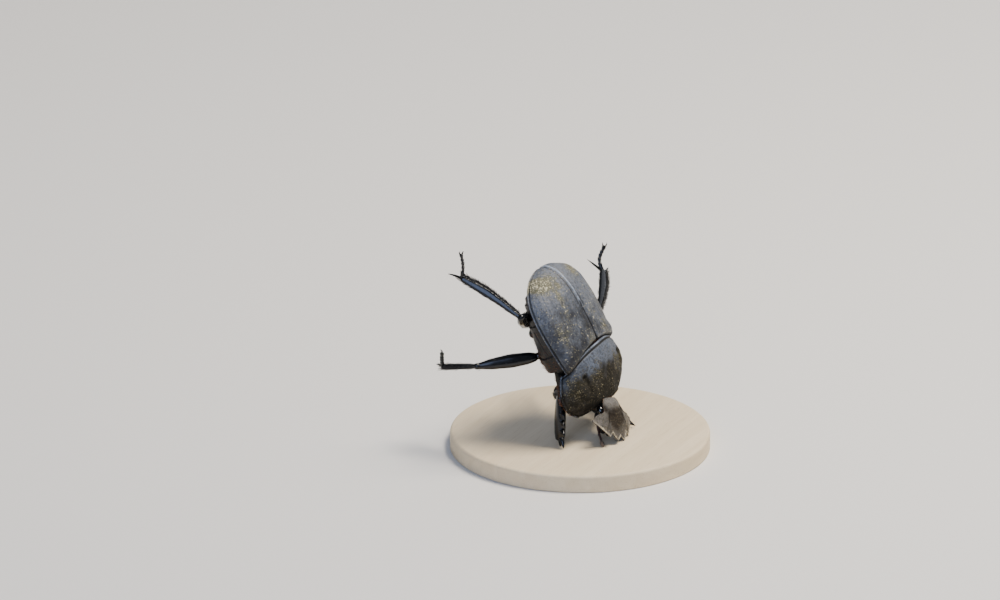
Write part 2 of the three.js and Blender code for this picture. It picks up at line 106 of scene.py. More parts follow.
def smoothstep(low, high, value):
    share = np.clip((value - low) / (high - low), 0, 1)
    return share * share * (3 - 2 * share)


def hump(distance, width):
    return np.exp(-((distance / width) ** 2))


def patches(x, y, spots):
    """Adds up soft spots given as (x, y, half width, half length, strength)."""
    total = np.zeros_like(x)
    for at_x, at_y, wide, long, strength in spots:
        total += strength * np.exp(-(((x - at_x) / wide) ** 2) - ((y - at_y) / long) ** 2)
    return total


def wavy(points, scale, seed):
    """A smooth field of lumps about scale millimetres across, between about -1 and 1."""
    rng = np.random.default_rng(seed)
    total = np.zeros(points.shape[:-1])
    for _ in range(14):
        way = rng.normal(size=3)
        way *= 2 * math.pi / (scale * rng.uniform(0.8, 1.7) * np.linalg.norm(way))
        total += np.sin(points @ way + rng.uniform(0, 2 * math.pi))
    return total / 14**0.5


def unit(vectors):
    vectors = np.asarray(vectors, float)
    return vectors / np.maximum(np.linalg.norm(vectors, axis=-1, keepdims=True), 1e-9)


def superellipse(half, rise, angle, power):
    c, s = np.cos(angle), np.sin(angle)
    x = half * np.sign(c) * np.abs(c) ** (2 / power)
    return x, rise * np.sign(s) * np.abs(s) ** (2 / power)


def bow(distance, reach, power):
    return np.sqrt(np.clip(1 - np.clip(np.abs(distance) / reach, 0, 1) ** power, 0, None))


def spline(points, count):
    """A smooth path through a few points."""
    points = np.asarray(points, float)
    padded = np.vstack([2 * points[0] - points[1], points, 2 * points[-1] - points[-2]])
    at = np.linspace(0, len(points) - 1, count)
    i = np.minimum(at.astype(int), len(points) - 2)
    k = (at - i)[:, None]
    a, b, c, d = (padded[i + n] for n in range(4))
    second = (2 * a - 5 * b + 4 * c - d) * k**2
    third = (3 * b - a - 3 * c + d) * k**3
    return 0.5 * (2 * b + (c - a) * k + second + third)


# ---------- shells: points, quads and triangles ----------


def grid_normals(rings):
    along = np.gradient(rings, axis=0)
    across = np.roll(rings, -1, axis=1) - np.roll(rings, 1, axis=1)
    # A sheet whose rows don't close has no neighbour across the gap.
    gap = np.linalg.norm(rings[:, 0] - rings[:, -1], axis=-1).mean()
    if gap > 4 * np.linalg.norm(across, axis=-1).mean():
        across = np.gradient(rings, axis=1)
    return unit(np.cross(across, along))


def outward_normals(rings):
    normals = grid_normals(rings)
    return normals * np.sign((normals * (rings - rings.mean(1, keepdims=True))).sum(-1).mean())


def run_across(points):
    """How far along its row each point lies, in mm."""
    steps = np.linalg.norm(np.diff(points, axis=1), axis=-1)
    return np.concatenate([np.zeros((len(points), 1)), np.cumsum(steps, axis=1)], axis=1)


def closed_grid(rings):
    """Rings of points, (rows, columns, 3), as one closed shell."""
    rows, columns = rings.shape[:2]
    points = np.concatenate([rings.reshape(-1, 3), [rings[0].mean(0), rings[-1].mean(0)]])
    r, c = np.meshgrid(np.arange(rows - 1), np.arange(columns), indexing="ij")
    a, b = r * columns + c, r * columns + (c + 1) % columns
    quads = np.stack([a, b, b + columns, a + columns], axis=-1).reshape(-1, 4)
    start = np.arange(columns)
    after = (start + 1) % columns
    last = (rows - 1) * columns
    fans = np.concatenate(
        [
            np.stack([after, start, np.full(columns, rows * columns)], axis=1),
            np.stack([start + last, after + last, np.full(columns, rows * columns + 1)], axis=1),
        ]
    )
    split = np.concatenate([quads[:, [0, 1, 2]], quads[:, [0, 2, 3]], fans])
    p, q, s = (points[split[:, i]] - points.mean(0) for i in range(3))
    if np.einsum("ij,ij->i", p, np.cross(q, s)).sum() < 0:
        quads, fans = quads[:, ::-1], fans[:, ::-1]
    return points, quads, fans


def domed(ring, way, depth):
    """Eight rings that close an end in a low dome, out along way."""
    k = np.sin(np.linspace(0, math.pi / 2, 10)[1:-1] * 0.985)
    centre = ring.mean(0)
    out = np.asarray(way, float) * depth
    return np.stack([centre + (ring - centre) * math.sqrt(1 - s * s) + out * s for s in k])


def joined(*shells):
    points, quads, triangles, start = [], [], [], 0
    for p, q, t in shells:
        points.append(p)
        quads.append(q + start)
        triangles.append(t + start)
        start += len(p)
    return np.concatenate(points), np.concatenate(quads), np.concatenate(triangles)


def moved(shell, matrix):
    return carry(matrix, shell[0]), shell[1], shell[2]


def ellipsoid(at, radii, rows=40, columns=64, lumps=0.0):
    polar = np.linspace(0.02, math.pi - 0.02, rows)[:, None]
    round_ = np.linspace(0, 2 * math.pi, columns, endpoint=False)[None, :]
    ball = [np.sin(polar) * np.cos(round_), np.cos(polar) + 0 * round_, np.sin(polar) * np.sin(round_)]
    ball = np.stack(ball, axis=-1)
    points = ball * np.asarray(radii, float)
    points = points + ball * (lumps * wavy(points, 0.9, 1))[..., None]
    return closed_grid(points + np.asarray(at, float))


def tube(path, radii, sides):
    """A round bar along a path, with a radius at each point, closed at both ends."""
    path = np.asarray(path, float)
    tangent = unit(np.gradient(path, axis=0))
    across = unit(np.cross(tangent, [0.13, 0.31, 0.94]))
    upward = np.cross(across, tangent)
    angle = np.linspace(0, 2 * math.pi, sides, endpoint=False)
    c, s = np.cos(angle)[None, :, None], np.sin(angle)[None, :, None]
    ring = c * across[:, None] + s * upward[:, None]
    return closed_grid(path[:, None] + ring * np.asarray(radii, float)[:, None, None])


def spike(root, tip, radius, bend=(0, 0, 0), rows=10):
    """A curved tooth, spur or claw of twelve sides that thins to its tip."""
    root, tip = np.asarray(root, float), np.asarray(tip, float)
    k = np.linspace(0, 1, rows)[:, None]
    path = root + (tip - root) * k + np.asarray(bend, float) * (4 * k * (1 - k))
    return tube(path, radius * np.linspace(1, 0, rows) ** 0.75 + 0.02, 12)


# ---------- pieces ----------


def new_mesh(name, shell, unit_size=1.0):
    points, quads, triangles = shell
    mesh = bpy.data.meshes.new(name)
    mesh.vertices.add(len(points))
    mesh.vertices.foreach_set("co", np.ascontiguousarray(points * unit_size, np.float32).ravel())
    loops = np.concatenate([quads.ravel(), triangles.ravel()]).astype(np.int32)
    sizes = np.concatenate([np.full(len(quads), 4), np.full(len(triangles), 3)])
    mesh.loops.add(len(loops))
    mesh.loops.foreach_set("vertex_index", loops)
    mesh.polygons.add(len(sizes))
    mesh.polygons.foreach_set("loop_start", (np.cumsum(sizes) - sizes).astype(np.int32))
    mesh.update(calc_edges=True)
    mesh.validate()
    return mesh


def mark(mesh, name, values, kind="FLOAT"):
    layer = mesh.attributes.new(name, kind, "POINT")
    field = "value" if kind == "FLOAT" else "vector"
    layer.data.foreach_set(field, np.ascontiguousarray(values, np.float32).ravel())


def link(name, mesh):
    piece = bpy.data.objects.new(name, mesh)
    bpy.context.scene.collection.objects.link(piece)
    return piece


def finish_piece(name, mesh, nodes=()):
    piece = link(name, mesh)
    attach(piece, "root")
    if nodes:
        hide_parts(*nodes)
    return piece


def make_piece(name, shell, spot, material, nodes=(), marks=None, sharp=None):
    """A finished piece of the model from a shell in one of the body's frames."""
    mesh = new_mesh(name, moved(shell, spot), MM)
    mesh.shade_smooth()
    if sharp:
        mesh.set_sharp_from_angle(angle=math.radians(sharp))
    for key, values in (marks or {}).items():
        mark(mesh, key, values)
    mesh.materials.append(material)
    return finish_piece(name, mesh, nodes)


def skin_marks(rings, skin, hidden_bloom, **seen):
    """A dusty shell's marks at each of its points: as seen on the part of the rings that skin
    picks, and the same all over the hidden rest."""
    hidden = {"bloom": hidden_bloom, "dust": -0.6, "soil": 0.5, "rub": 0.0}
    marks = {}
    for key, values in seen.items():
        whole = np.full(rings.shape[:2], hidden[key])
        whole[skin] = values
        marks[key] = np.concatenate([whole.ravel(), whole[[0, -1], -1]])
    return marks


def settled(block):
    """The plain mesh that an object's modifiers make of it; the object itself goes."""
    mesh = bpy.data.meshes.new_from_object(block.evaluated_get(bpy.context.evaluated_depsgraph_get()))
    bpy.data.objects.remove(block)
    return mesh


def remeshed(shell, voxel, rounds):
    """Melts overlapping shells into one skin, then softens it."""
    block = link("melt", new_mesh("melt", shell))
    melt = block.modifiers.new("melt", "REMESH")
    melt.mode = "VOXEL"
    melt.voxel_size = voxel
    soften = block.modifiers.new("soften", "SMOOTH")
    soften.factor = 0.5
    soften.iterations = rounds
    mesh = settled(block)
    points = np.empty(len(mesh.vertices) * 3, np.float32)
    mesh.vertices.foreach_get("co", points)
    loops = np.empty(len(mesh.loops), np.int32)
    mesh.loops.foreach_get("vertex_index", loops)
    return points.reshape(-1, 3).astype(float), loops.reshape(-1, 4), np.empty((0, 3), int)


# ---------- node trees ----------


def colour(hex_text):
    """An sRGB hex colour as Blender's linear RGBA."""
    parts = [int(hex_text[i : i + 2], 16) / 255 for i in (1, 3, 5)]
    return (*[c / 12.92 if c <= 0.04045 else ((c + 0.055) / 1.055) ** 2.4 for c in parts], 1.0)


def add(tree, kind, links=None, **settings):
    """One node with its settings. links gives each input a value, another node's socket, or a node,
    which stands for its first output."""
    node = tree.nodes.new(kind)
    for key, value in settings.items():
        setattr(node, key, value)
    for socket, value in (links or {}).items():
        if isinstance(value, bpy.types.Node):
            value = value.outputs[0]
        if isinstance(value, bpy.types.NodeSocket):
            tree.links.new(value, node.inputs[socket])
        else:
            node.inputs[socket].default_value = value
    return node


def new_tree(name, sizes):
    """An empty geometry tree with named inputs given as {name: (socket kind, value)}."""
    tree = bpy.data.node_groups.new(name, "GeometryNodeTree")
    tree.interface.new_socket("Geometry", in_out="OUTPUT", socket_type="NodeSocketGeometry")
    tree.interface.new_socket("Geometry", in_out="INPUT", socket_type="NodeSocketGeometry")
    for key, (kind, value) in {**sizes, "Material": ("Material", None)}.items():
        socket = tree.interface.new_socket(key, in_out="INPUT", socket_type="NodeSocket" + kind)
        if value is not None:
            socket.default_value = value
    return tree, add(tree, "NodeGroupInput").outputs


def end_tree(tree, given, geometry, smooth=True):
    solid = add(tree, "GeometryNodeRealizeInstances", {"Geometry": geometry})
    shaded = add(tree, "GeometryNodeSetShadeSmooth", {"Geometry": solid, "Shade Smooth": smooth})
    dressed = add(tree, "GeometryNodeSetMaterial", {"Geometry": shaded, "Material": given["Material"]})
    add(tree, "NodeGroupOutput", {"Geometry": dressed})
    return tree


def unwrapped_tree(tree, given, planted, place, size, smooth=True):
    """Ends a tree of planted parts: each one's own place, times size, lies on the map OFBake at the
    corner that the bed's mark patch gives."""
    solid = add(tree, "GeometryNodeRealizeInstances", {"Geometry": planted})
    patch = add(tree, "GeometryNodeInputNamedAttribute", {"Name": "patch"}, data_type="FLOAT_VECTOR")
    spread = add(tree, "ShaderNodeVectorMath", {0: place, 1: size, 2: patch}, operation="MULTIPLY_ADD")
    mapped = add(
        tree,
        "GeometryNodeStoreNamedAttribute",
        {"Geometry": solid, "Name": "OFBake", "Value": spread},
        data_type="FLOAT2",
        domain="CORNER",
    )
    return end_tree(tree, given, mapped, smooth)


def grown(tree, mesh, **settings):
    """The plain mesh that a geometry tree makes from another, with its named inputs set."""
    block = link("bed", mesh)
    grow = block.modifiers.new("grow", "NODES")
    grow.node_group = tree
    for item in tree.interface.items_tree:
        if item.in_out == "INPUT" and item.name in settings:
            grow[item.identifier] = settings[item.name]
    solid = settled(block)
    # One finish for the whole mesh, in its first slot.
    solid.materials.clear()
    solid.materials.append(settings["Material"])
    solid.polygons.foreach_set("material_index", np.zeros(len(solid.polygons), np.int32))
    return solid


def bristle_tree():
    """Curved bristles, one on each point of the bed. The bed's marks lie, curl and reach give each
    one's way, the way it bends and its length."""
    sizes = {
        "Seed": ("Int", 1),
        "Thickness": ("Float", 0.035),
        "Bend": ("Float", 0.25),
        "Shortest": ("Float", 0.7),
        "Rows": ("Int", 5),
        "Sides": ("Int", 3),
    }
    tree, given = new_tree("bristles", sizes)
    line = add(tree, "GeometryNodeCurvePrimitiveLine", {"End": (0, 0, 1)})
    stem = add(tree, "GeometryNodeResampleCurve", {"Curve": line, "Count": given["Rows"]})
    run = add(tree, "GeometryNodeSplineParameter")
    squared = add(tree, "ShaderNodeMath", {0: run, 1: 2.0}, operation="POWER")
    sway = add(tree, "ShaderNodeMath", {0: squared, 1: given["Bend"]}, operation="MULTIPLY")
    offset = add(tree, "ShaderNodeCombineXYZ", {"X": sway})
    bent = add(tree, "GeometryNodeSetPosition", {"Geometry": stem, "Offset": offset})
    round_ = {"Resolution": given["Sides"], "Radius": given["Thickness"]}
    circle = add(tree, "GeometryNodeCurvePrimitiveCircle", round_)
    stem, ring = (
        add(tree, "GeometryNodeStoreNamedAttribute", {"Geometry": curve, "Name": key, "Value": run})
        for curve, key in ((bent, "along"), (circle, "around"))
    )
    taper = add(tree, "ShaderNodeMapRange", {"Value": squared, "To Min": 1.0, "To Max": 0.12})
    bar = {"Curve": stem, "Profile Curve": ring, "Scale": taper, "Fill Caps": True}
    hair = add(tree, "GeometryNodeCurveToMesh", bar)
    lie, curl = (
        add(tree, "GeometryNodeInputNamedAttribute", {"Name": key}, data_type="FLOAT_VECTOR")
        for key in ("lie", "curl")
    )
    reach, along, around = (
        add(tree, "GeometryNodeInputNamedAttribute", {"Name": key})
        for key in ("reach", "along", "around")
    )
    turn = add(
        tree,
        "FunctionNodeAxesToRotation",
        {"Primary Axis": lie, "Secondary Axis": curl},
        primary_axis="Z",
        secondary_axis="X",
    )
    chance = add(tree, "FunctionNodeRandomValue", {2: given["Shortest"], 3: 1.0, "Seed": given["Seed"]})
    size = add(tree, "ShaderNodeMath", {0: reach, 1: chance.outputs[1]}, operation="MULTIPLY")
    roots = {"Points": given["Geometry"], "Instance": hair, "Rotation": turn, "Scale": size}
    planted = add(tree, "GeometryNodeInstanceOnPoints", roots)
    # A hair's patch on the map is 0.003 each way: around ends at two thirds on three sides.
    place = add(tree, "ShaderNodeCombineXYZ", {"X": along, "Y": around})
    return unwrapped_tree(tree, given, planted, place, (0.003, 0.0045, 0.0))


def grit_tree():
    """Specks of soil stuck to a skin, thickest where its mark grit is high."""
    sizes = {
        "Seed": ("Int", 1),
        "Density": ("Float", 3e6),
        "Smallest": ("Float", 0.00003),
        "Largest": ("Float", 0.00011),
    }
    tree, given = new_tree("grit", sizes)
    grit = add(tree, "GeometryNodeInputNamedAttribute", {"Name": "grit"})
    thick = add(tree, "ShaderNodeMath", {0: grit, 1: given["Density"]}, operation="MULTIPLY")
    skin = {"Mesh": given["Geometry"], "Density": thick, "Seed": given["Seed"]}
    dots = add(tree, "GeometryNodeDistributePointsOnFaces", skin)
    chance = add(tree, "FunctionNodeRandomValue", {2: 0.0, 3: 1.0, "Seed": given["Seed"]})
    rare = add(tree, "ShaderNodeMath", {0: chance.outputs[1], 1: 2.5}, operation="POWER")
    span = {"Value": rare, "To Min": given["Smallest"], "To Max": given["Largest"]}
    size = add(tree, "ShaderNodeMapRange", span)
    spin, stretch = (
        add(
            tree,
            "FunctionNodeRandomValue",
            {0: least, 1: most, "Seed": given["Seed"]},
            data_type="FLOAT_VECTOR",
        )
        for least, most in (((-3.1, -3.1, -3.1), (3.1, 3.1, 3.1)), ((0.7, 0.7, 0.6), (1.3, 1.2, 1.0)))
    )
    shape = add(tree, "ShaderNodeVectorMath", {0: stretch, 1: size}, operation="MULTIPLY")
    ball = add(tree, "GeometryNodeMeshIcoSphere", {"Radius": 1.0, "Subdivisions": 1})
    middle = add(tree, "GeometryNodeInputPosition")
    crumb = add(
        tree,
        "GeometryNodeStoreNamedAttribute",
        {"Geometry": ball, "Name": "side", "Value": middle},
        data_type="FLOAT_VECTOR",
    )
    places = {"Points": dots, "Instance": crumb, "Rotation": spin, "Scale": shape}
    stuck = add(tree, "GeometryNodeInstanceOnPoints", places)
    side = add(tree, "GeometryNodeInputNamedAttribute", {"Name": "side"}, data_type="FLOAT_VECTOR")
    return unwrapped_tree(tree, given, stuck, side, (0.0015,) * 3, False)


def jointed_tree():
    """A jointed limb along a path. The path's mark step counts the joints; each one starts narrow
    and widens to its end."""
    sizes = {
        "Radius": ("Float", 0.0003),
        "Narrow": ("Float", 0.45),
        "Flat": ("Float", 0.8),
        "Rows": ("Int", 90),
        "Sides": ("Int", 16),
    }
    tree, given = new_tree("joints", sizes)
    path = add(tree, "GeometryNodeMeshToCurve", {"Mesh": given["Geometry"]})
    rows = add(tree, "GeometryNodeResampleCurve", {"Curve": path, "Count": given["Rows"]})
    step = add(tree, "GeometryNodeInputNamedAttribute", {"Name": "step"})
    share = add(tree, "ShaderNodeMath", {0: step}, operation="FRACT")
    opening = {"Value": share, "From Max": 0.72, "To Min": given["Narrow"]}
    closing = {"Value": share, "From Min": 0.84, "From Max": 1.0, "To Min": 1.0, "To Max": given["Narrow"]}
    widen, close = (
        add(tree, "ShaderNodeMapRange", span, interpolation_type="SMOOTHSTEP")
        for span in (opening, closing)
    )
    both = add(tree, "ShaderNodeMath", {0: widen, 1: close}, operation="MULTIPLY")
    round_ = {"Resolution": given["Sides"], "Radius": given["Radius"]}
    ring = add(tree, "GeometryNodeCurvePrimitiveCircle", round_)
    oval = add(tree, "ShaderNodeCombineXYZ", {"X": 1.0, "Y": given["Flat"], "Z": 1.0})
    profile = add(tree, "GeometryNodeTransform", {"Geometry": ring, "Scale": oval})
    bar = {"Curve": rows, "Profile Curve": profile, "Scale": both, "Fill Caps": True}
    return end_tree(tree, given, add(tree, "GeometryNodeCurveToMesh", bar))


BRISTLES = bristle_tree()
GRIT = grit_tree()
JOINTS = jointed_tree()


# ---------- hairs ----------


def new_bed():
    return {"roots": [], "lie": [], "curl": [], "reach": [], "patch": [], "cells": 0}


BLACK_BED, RUSSET_BED = new_bed(), new_bed()
# Each bed's map has this many cells both ways. A cell keeps a margin, then room for the roots.
CELLS = 5
CELL_MARGIN, CELL_ROOM = 0.06, 0.85


def plant(bed, spot, roots, lie, curl, reach, unwrapped, spread, seed):
    """Adds hairs to a bed. unwrapped gives each root's place on its skin, 0 to 1 both ways, which
    gets a cell of its own on the bed's map."""
    rng = np.random.default_rng(seed)
    roots = np.asarray(roots, float).reshape(-1, 3)
    count = len(roots)
    lie = unit(np.broadcast_to(lie, (count, 3)) + rng.normal(size=(count, 3)) * spread)
    curl = np.broadcast_to(np.asarray(curl, float), (count, 3)) + rng.normal(size=(count, 3)) * 0.05
    column, row = bed["cells"] % CELLS, bed["cells"] // CELLS
    bed["cells"] += 1
    corner = np.array([column, row]) / CELLS
    patch = np.zeros((count, 3))
    patch[:, :2] = corner + (CELL_MARGIN + CELL_ROOM * np.clip(unwrapped, 0, 1)) / CELLS
    bed["roots"].append(carry(spot, roots) * MM)
    bed["lie"].append(lie @ spot[:3, :3].T)
    bed["curl"].append(curl @ spot[:3, :3].T)
    bed["reach"].append(np.broadcast_to(np.asarray(reach, float), (count,)) * MM)
    bed["patch"].append(patch)


def plant_on(spot, rings, choose, count, lie, reach, rise, spread, seed):
    """Russet hairs scattered over the part of a skin of rings that choose picks; they lie along lie
    and stand out from the skin by rise."""
    rng = np.random.default_rng(seed)
    normals = grid_normals(rings)
    outward = np.sign(((rings - rings.reshape(-1, 3).mean(0)) * normals).sum(-1).mean()) or 1.0
    rows, columns = np.nonzero(choose)
    pick = rng.integers(0, len(rows), count)
    r, c = rows[pick], columns[pick]
    roots = rings[r, c] + rng.normal(size=(count, 3)) * 0.03
    up = normals[r, c] * outward
    flow = unit(np.broadcast_to(np.asarray(lie, float), (count, 3)))
    flat = unit(flow - (flow * up).sum(-1, keepdims=True) * up)
    unwrapped = np.stack([r / rings.shape[0], c / rings.shape[1]], axis=1)
    sizes = reach * rng.uniform(0.75, 1.1, count)
    roots = roots - up * 0.03
    plant(RUSSET_BED, spot, roots, flat + up * rise, flat, sizes, unwrapped, spread, seed)


def grow_hairs(name, bed, material, thickness, bend, seed):
    points = np.concatenate(bed["roots"])
    mesh = new_mesh(name, (points, np.empty((0, 4), int), np.empty((0, 3), int)))
    for key in ("lie", "curl", "patch"):
        mark(mesh, key, np.concatenate(bed[key]), "FLOAT_VECTOR")
    mark(mesh, "reach", np.concatenate(bed["reach"]))
    hairs = grown(BRISTLES, mesh, Seed=seed, Thickness=thickness, Bend=bend, Material=material)
    hairs.name = name
    return finish_piece(name, hairs)


# ---------- materials ----------

CUTICLE_IOR = 1.56


def new_material(name):
    """A material, its tree and the place on the piece in millimetres."""
    material = bpy.data.materials.new(name)
    material.use_nodes = True
    tree = material.node_tree
    tree.nodes.clear()
    place = add(tree, "ShaderNodeTexCoord").outputs["Object"]
    where = add(tree, "ShaderNodeVectorMath", {0: place, 1: (1 / MM,) * 3}, operation="MULTIPLY")
    return material, tree, where


def surfaced(material, tree, inputs):
    """Ends a material with the shader's own inputs."""
    shader = add(tree, "ShaderNodeBsdfPrincipled", inputs)
    add(tree, "ShaderNodeOutputMaterial", {"Surface": shader})
    return material


def dusty_cuticle(name, dark, bloom, film, soil, rubbed, grains, gloss, shine):
    """Beetle shell, hard and dull from fine scratches: black underneath, with a blue-grey bloom and
    painted sheen on its high places, a film of dust, dark soil and painted shade in its grooves,
    seams and pits, single pale grains, and edges rubbed pale and smooth with a painted highlight
    along them. The marks for the bloom and sheen, the dust, the soil and shade, and the rubbing and
    highlight say where."""
    material, tree, where = new_material(name)
    # Clouds 2 mm across, mottles of half a millimetre and specks of a third. Real dust is finer:
    # it is drawn this coarse so that it shows.
    patterns = {}
    for key, scale, detail in (("cloud", 0.5, 4.0), ("mottle", 1.9, 4.0), ("speck", 2.7, 5.0)):
        noise = {"Vector": where, "Scale": scale, "Detail": detail, "Roughness": 0.66}
        patterns[key] = add(tree, "ShaderNodeTexNoise", noise)
    amounts, masks = {}, {}
    for key, pattern, low, high in (
        ("bloom", "cloud", 0.7, 1.3),
        ("dust", "mottle", 0.6, 1.05),
        ("soil", "speck", 0.6, 1.15),
        ("rub", "mottle", 0.62, 1.0),
    ):
        amounts[key] = add(tree, "ShaderNodeAttribute", attribute_name=key).outputs["Fac"]
        total = add(tree, "ShaderNodeMath", {0: amounts[key], 1: patterns[pattern]}, operation="ADD")
        span = {"Value": total, "From Min": low, "From Max": high}
        masks[key] = add(tree, "ShaderNodeMapRange", span, interpolation_type="SMOOTHSTEP")
    # The bloom and its painted sheen are scuffed down to the dark shell; dust, soil with its painted
    # shade, and rubbing with its painted highlight lie over both.
    bloomed = {"Factor": masks["bloom"], 6: colour(dark), 7: colour(bloom)}
    paint = add(tree, "ShaderNodeMix", bloomed, data_type="RGBA").outputs[2]
    span = {"Value": patterns["speck"], "From Min": 0.36, "From Max": 0.6, "To Min": 0.3}
    scuffed = {"Factor": add(tree, "ShaderNodeMapRange", span), 6: colour(dark), 7: paint}
    paint = add(tree, "ShaderNodeMix", scuffed, data_type="RGBA").outputs[2]
    for key, tint, most in (("dust", film, 0.75), ("soil", soil, 0.95), ("rub", rubbed, 0.9)):
        cover = add(tree, "ShaderNodeMath", {0: masks[key], 1: most}, operation="MULTIPLY")
        covered = {"Factor": cover, 6: paint, 7: colour(tint)}
        paint = add(tree, "ShaderNodeMix", covered, data_type="RGBA").outputs[2]
    # Ragged grains of a tenth to a fifth of a millimetre, in some cells only, each with a tone
    # of its own. Soil and its painted shade hide them.
    noise = {"Vector": where, "Scale": 5.0, "Detail": 1.0}
    ragged = add(tree, "ShaderNodeTexNoise", noise).outputs["Color"]
    drift = {0: ragged, 1: (0.3,) * 3, 2: where}
    astray = add(tree, "ShaderNodeVectorMath", drift, operation="MULTIPLY_ADD")
    cells = add(tree, "ShaderNodeTexVoronoi", {"Vector": astray, "Scale": 5.4})
    lot = add(tree, "ShaderNodeSeparateColor", {"Color": cells.outputs["Color"]}).outputs
    odds = {0: amounts["dust"], 1: 0.9, 2: patterns["mottle"]}
    odds = add(tree, "ShaderNodeMath", odds, operation="MULTIPLY_ADD")
    spare = add(tree, "ShaderNodeMath", {0: odds, 1: lot["Red"]}, operation="SUBTRACT")
    there = add(tree, "ShaderNodeMapRange", {"Value": spare, "From Min": 0.28, "From Max": 0.42})
    small = add(tree, "ShaderNodeMath", {0: lot["Blue"], 1: 0.5}, operation="ADD")
    apart = add(tree, "ShaderNodeMath", {0: cells, 1: small}, operation="MULTIPLY")
    span = {"Value": apart, "From Min": 0.45, "From Max": 0.15}
    spot = add(tree, "ShaderNodeMapRange", span, interpolation_type="SMOOTHSTEP")
    bare = add(tree, "ShaderNodeMapRange", {"Value": masks["soil"], "To Min": 1.0, "To Max": 0.4})
    clear = add(tree, "ShaderNodeMath", {0: there, 1: bare}, operation="MULTIPLY")
    grain = add(tree, "ShaderNodeMath", {0: clear, 1: spot}, operation="MULTIPLY")
    share = {0: amounts["dust"], 1: 1.1, 2: lot["Green"]}
    share = add(tree, "ShaderNodeMath", share, operation="MULTIPLY_ADD")
    pale = add(tree, "ShaderNodeMapRange", {"Value": share, "From Min": 0.3, "From Max": 1.5})
    tones = {"Factor": pale, 6: colour(grains[0]), 7: colour(grains[1])}
    tone = add(tree, "ShaderNodeMix", tones, data_type="RGBA").outputs[2]
    paint = add(tree, "ShaderNodeMix", {"Factor": grain, 6: paint, 7: tone}, data_type="RGBA").outputs[2]
    matt = add(tree, "ShaderNodeMath", {0: masks["dust"], 1: masks["soil"]}, operation="MAXIMUM")
    chalk = add(tree, "ShaderNodeMath", {0: matt, 1: grain}, operation="MAXIMUM")
    rough = add(tree, "ShaderNodeMapRange", {"Value": chalk, "To Min": gloss, "To Max": 0.95})
    # The shell itself is shagreened in cells a fifth of a millimetre wide.
    scales = add(tree, "ShaderNodeTexVoronoi", {"Vector": where, "Scale": 5.5}, feature="DISTANCE_TO_EDGE")
    edges = add(tree, "ShaderNodeMath", {0: scales, 1: 0.25}, operation="MINIMUM")
    relief = {0: edges, 1: 0.8, 2: patterns["speck"]}
    relief = add(tree, "ShaderNodeMath", relief, operation="MULTIPLY_ADD")
    raised = add(tree, "ShaderNodeMath", {0: grain, 1: 0.9, 2: relief}, operation="MULTIPLY_ADD")
    bump = add(tree, "ShaderNodeBump", {"Strength": 0.6, "Distance": 0.07 * MM, "Height": raised})
    finish = {"Base Color": paint, "Roughness": rough, "Normal": bump}
    return surfaced(material, tree, {**finish, "IOR": CUTICLE_IOR, "Specular IOR Level": shine})


def polished_cuticle(name, dark, worn, gloss, dust, shine=0.5):
    """Bare black beetle shell, smooth and glossy as lacquer, dulled here and there by soil dust."""
    material, tree, where = new_material(name)
    noise = {"Vector": where, "Scale": 0.9, "Detail": 6, "Roughness": 0.65}
    smears = add(tree, "ShaderNodeTexNoise", noise)
    span = {"Value": smears, "From Min": 0.5, "From Max": 0.78, "To Max": dust}
    dusty = add(tree, "ShaderNodeMapRange", span, interpolation_type="SMOOTHSTEP")
    tints = {"Factor": dusty, 6: colour(dark), 7: colour(worn)}
    tint = add(tree, "ShaderNodeMix", tints, data_type="RGBA").outputs[2]
    rough = add(tree, "ShaderNodeMapRange", {"Value": dusty, "To Min": gloss, "To Max": 0.85})
    # Hair pits a third of a millimetre apart.
    pits = add(tree, "ShaderNodeTexVoronoi", {"Vector": where, "Scale": 3.2})
    span = {"Value": pits, "From Min": 0.05, "From Max": 0.22}
    rim = add(tree, "ShaderNodeMapRange", span, interpolation_type="SMOOTHSTEP")
    bump = add(tree, "ShaderNodeBump", {"Strength": 0.3, "Distance": 0.04 * MM, "Height": rim})
    finish = {"Base Color": tint, "Roughness": rough, "Normal": bump}
    return surfaced(material, tree, {**finish, "IOR": CUTICLE_IOR, "Specular IOR Level": shine})


def hair_material(name, root, tip):
    """Stiff insect hair, solid chitin with a satin gleam, paler towards its tip."""
    material, tree, where = new_material(name)
    along = add(tree, "ShaderNodeAttribute", attribute_name="along").outputs["Fac"]
    patchy = add(tree, "ShaderNodeTexNoise", {"Vector": where, "Scale": 1.3, "Detail": 2})
    share = add(tree, "ShaderNodeMath", {0: along, 1: patchy}, operation="MULTIPLY")
    tints = {"Factor": share, 6: colour(root), 7: colour(tip)}
    tint = add(tree, "ShaderNodeMix", tints, data_type="RGBA").outputs[2]
    return surfaced(material, tree, {"Base Color": tint, "Roughness": 0.55})


def soil_grains(name):
    """Dry sandy soil: quartz grains from straw to ochre, dull all over."""
    material, tree, where = new_material(name)
    cells = add(tree, "ShaderNodeTexVoronoi", {"Vector": where, "Scale": 4.0})
    lot = add(tree, "ShaderNodeSeparateColor", {"Color": cells.outputs["Color"]})
    tones = {"Factor": lot.outputs["Red"], 6: colour("#453f31"), 7: colour("#9c9270")}
    tone = add(tree, "ShaderNodeMix", tones, data_type="RGBA").outputs[2]
    return surfaced(material, tree, {"Base Color": tone, "Roughness": 0.85})


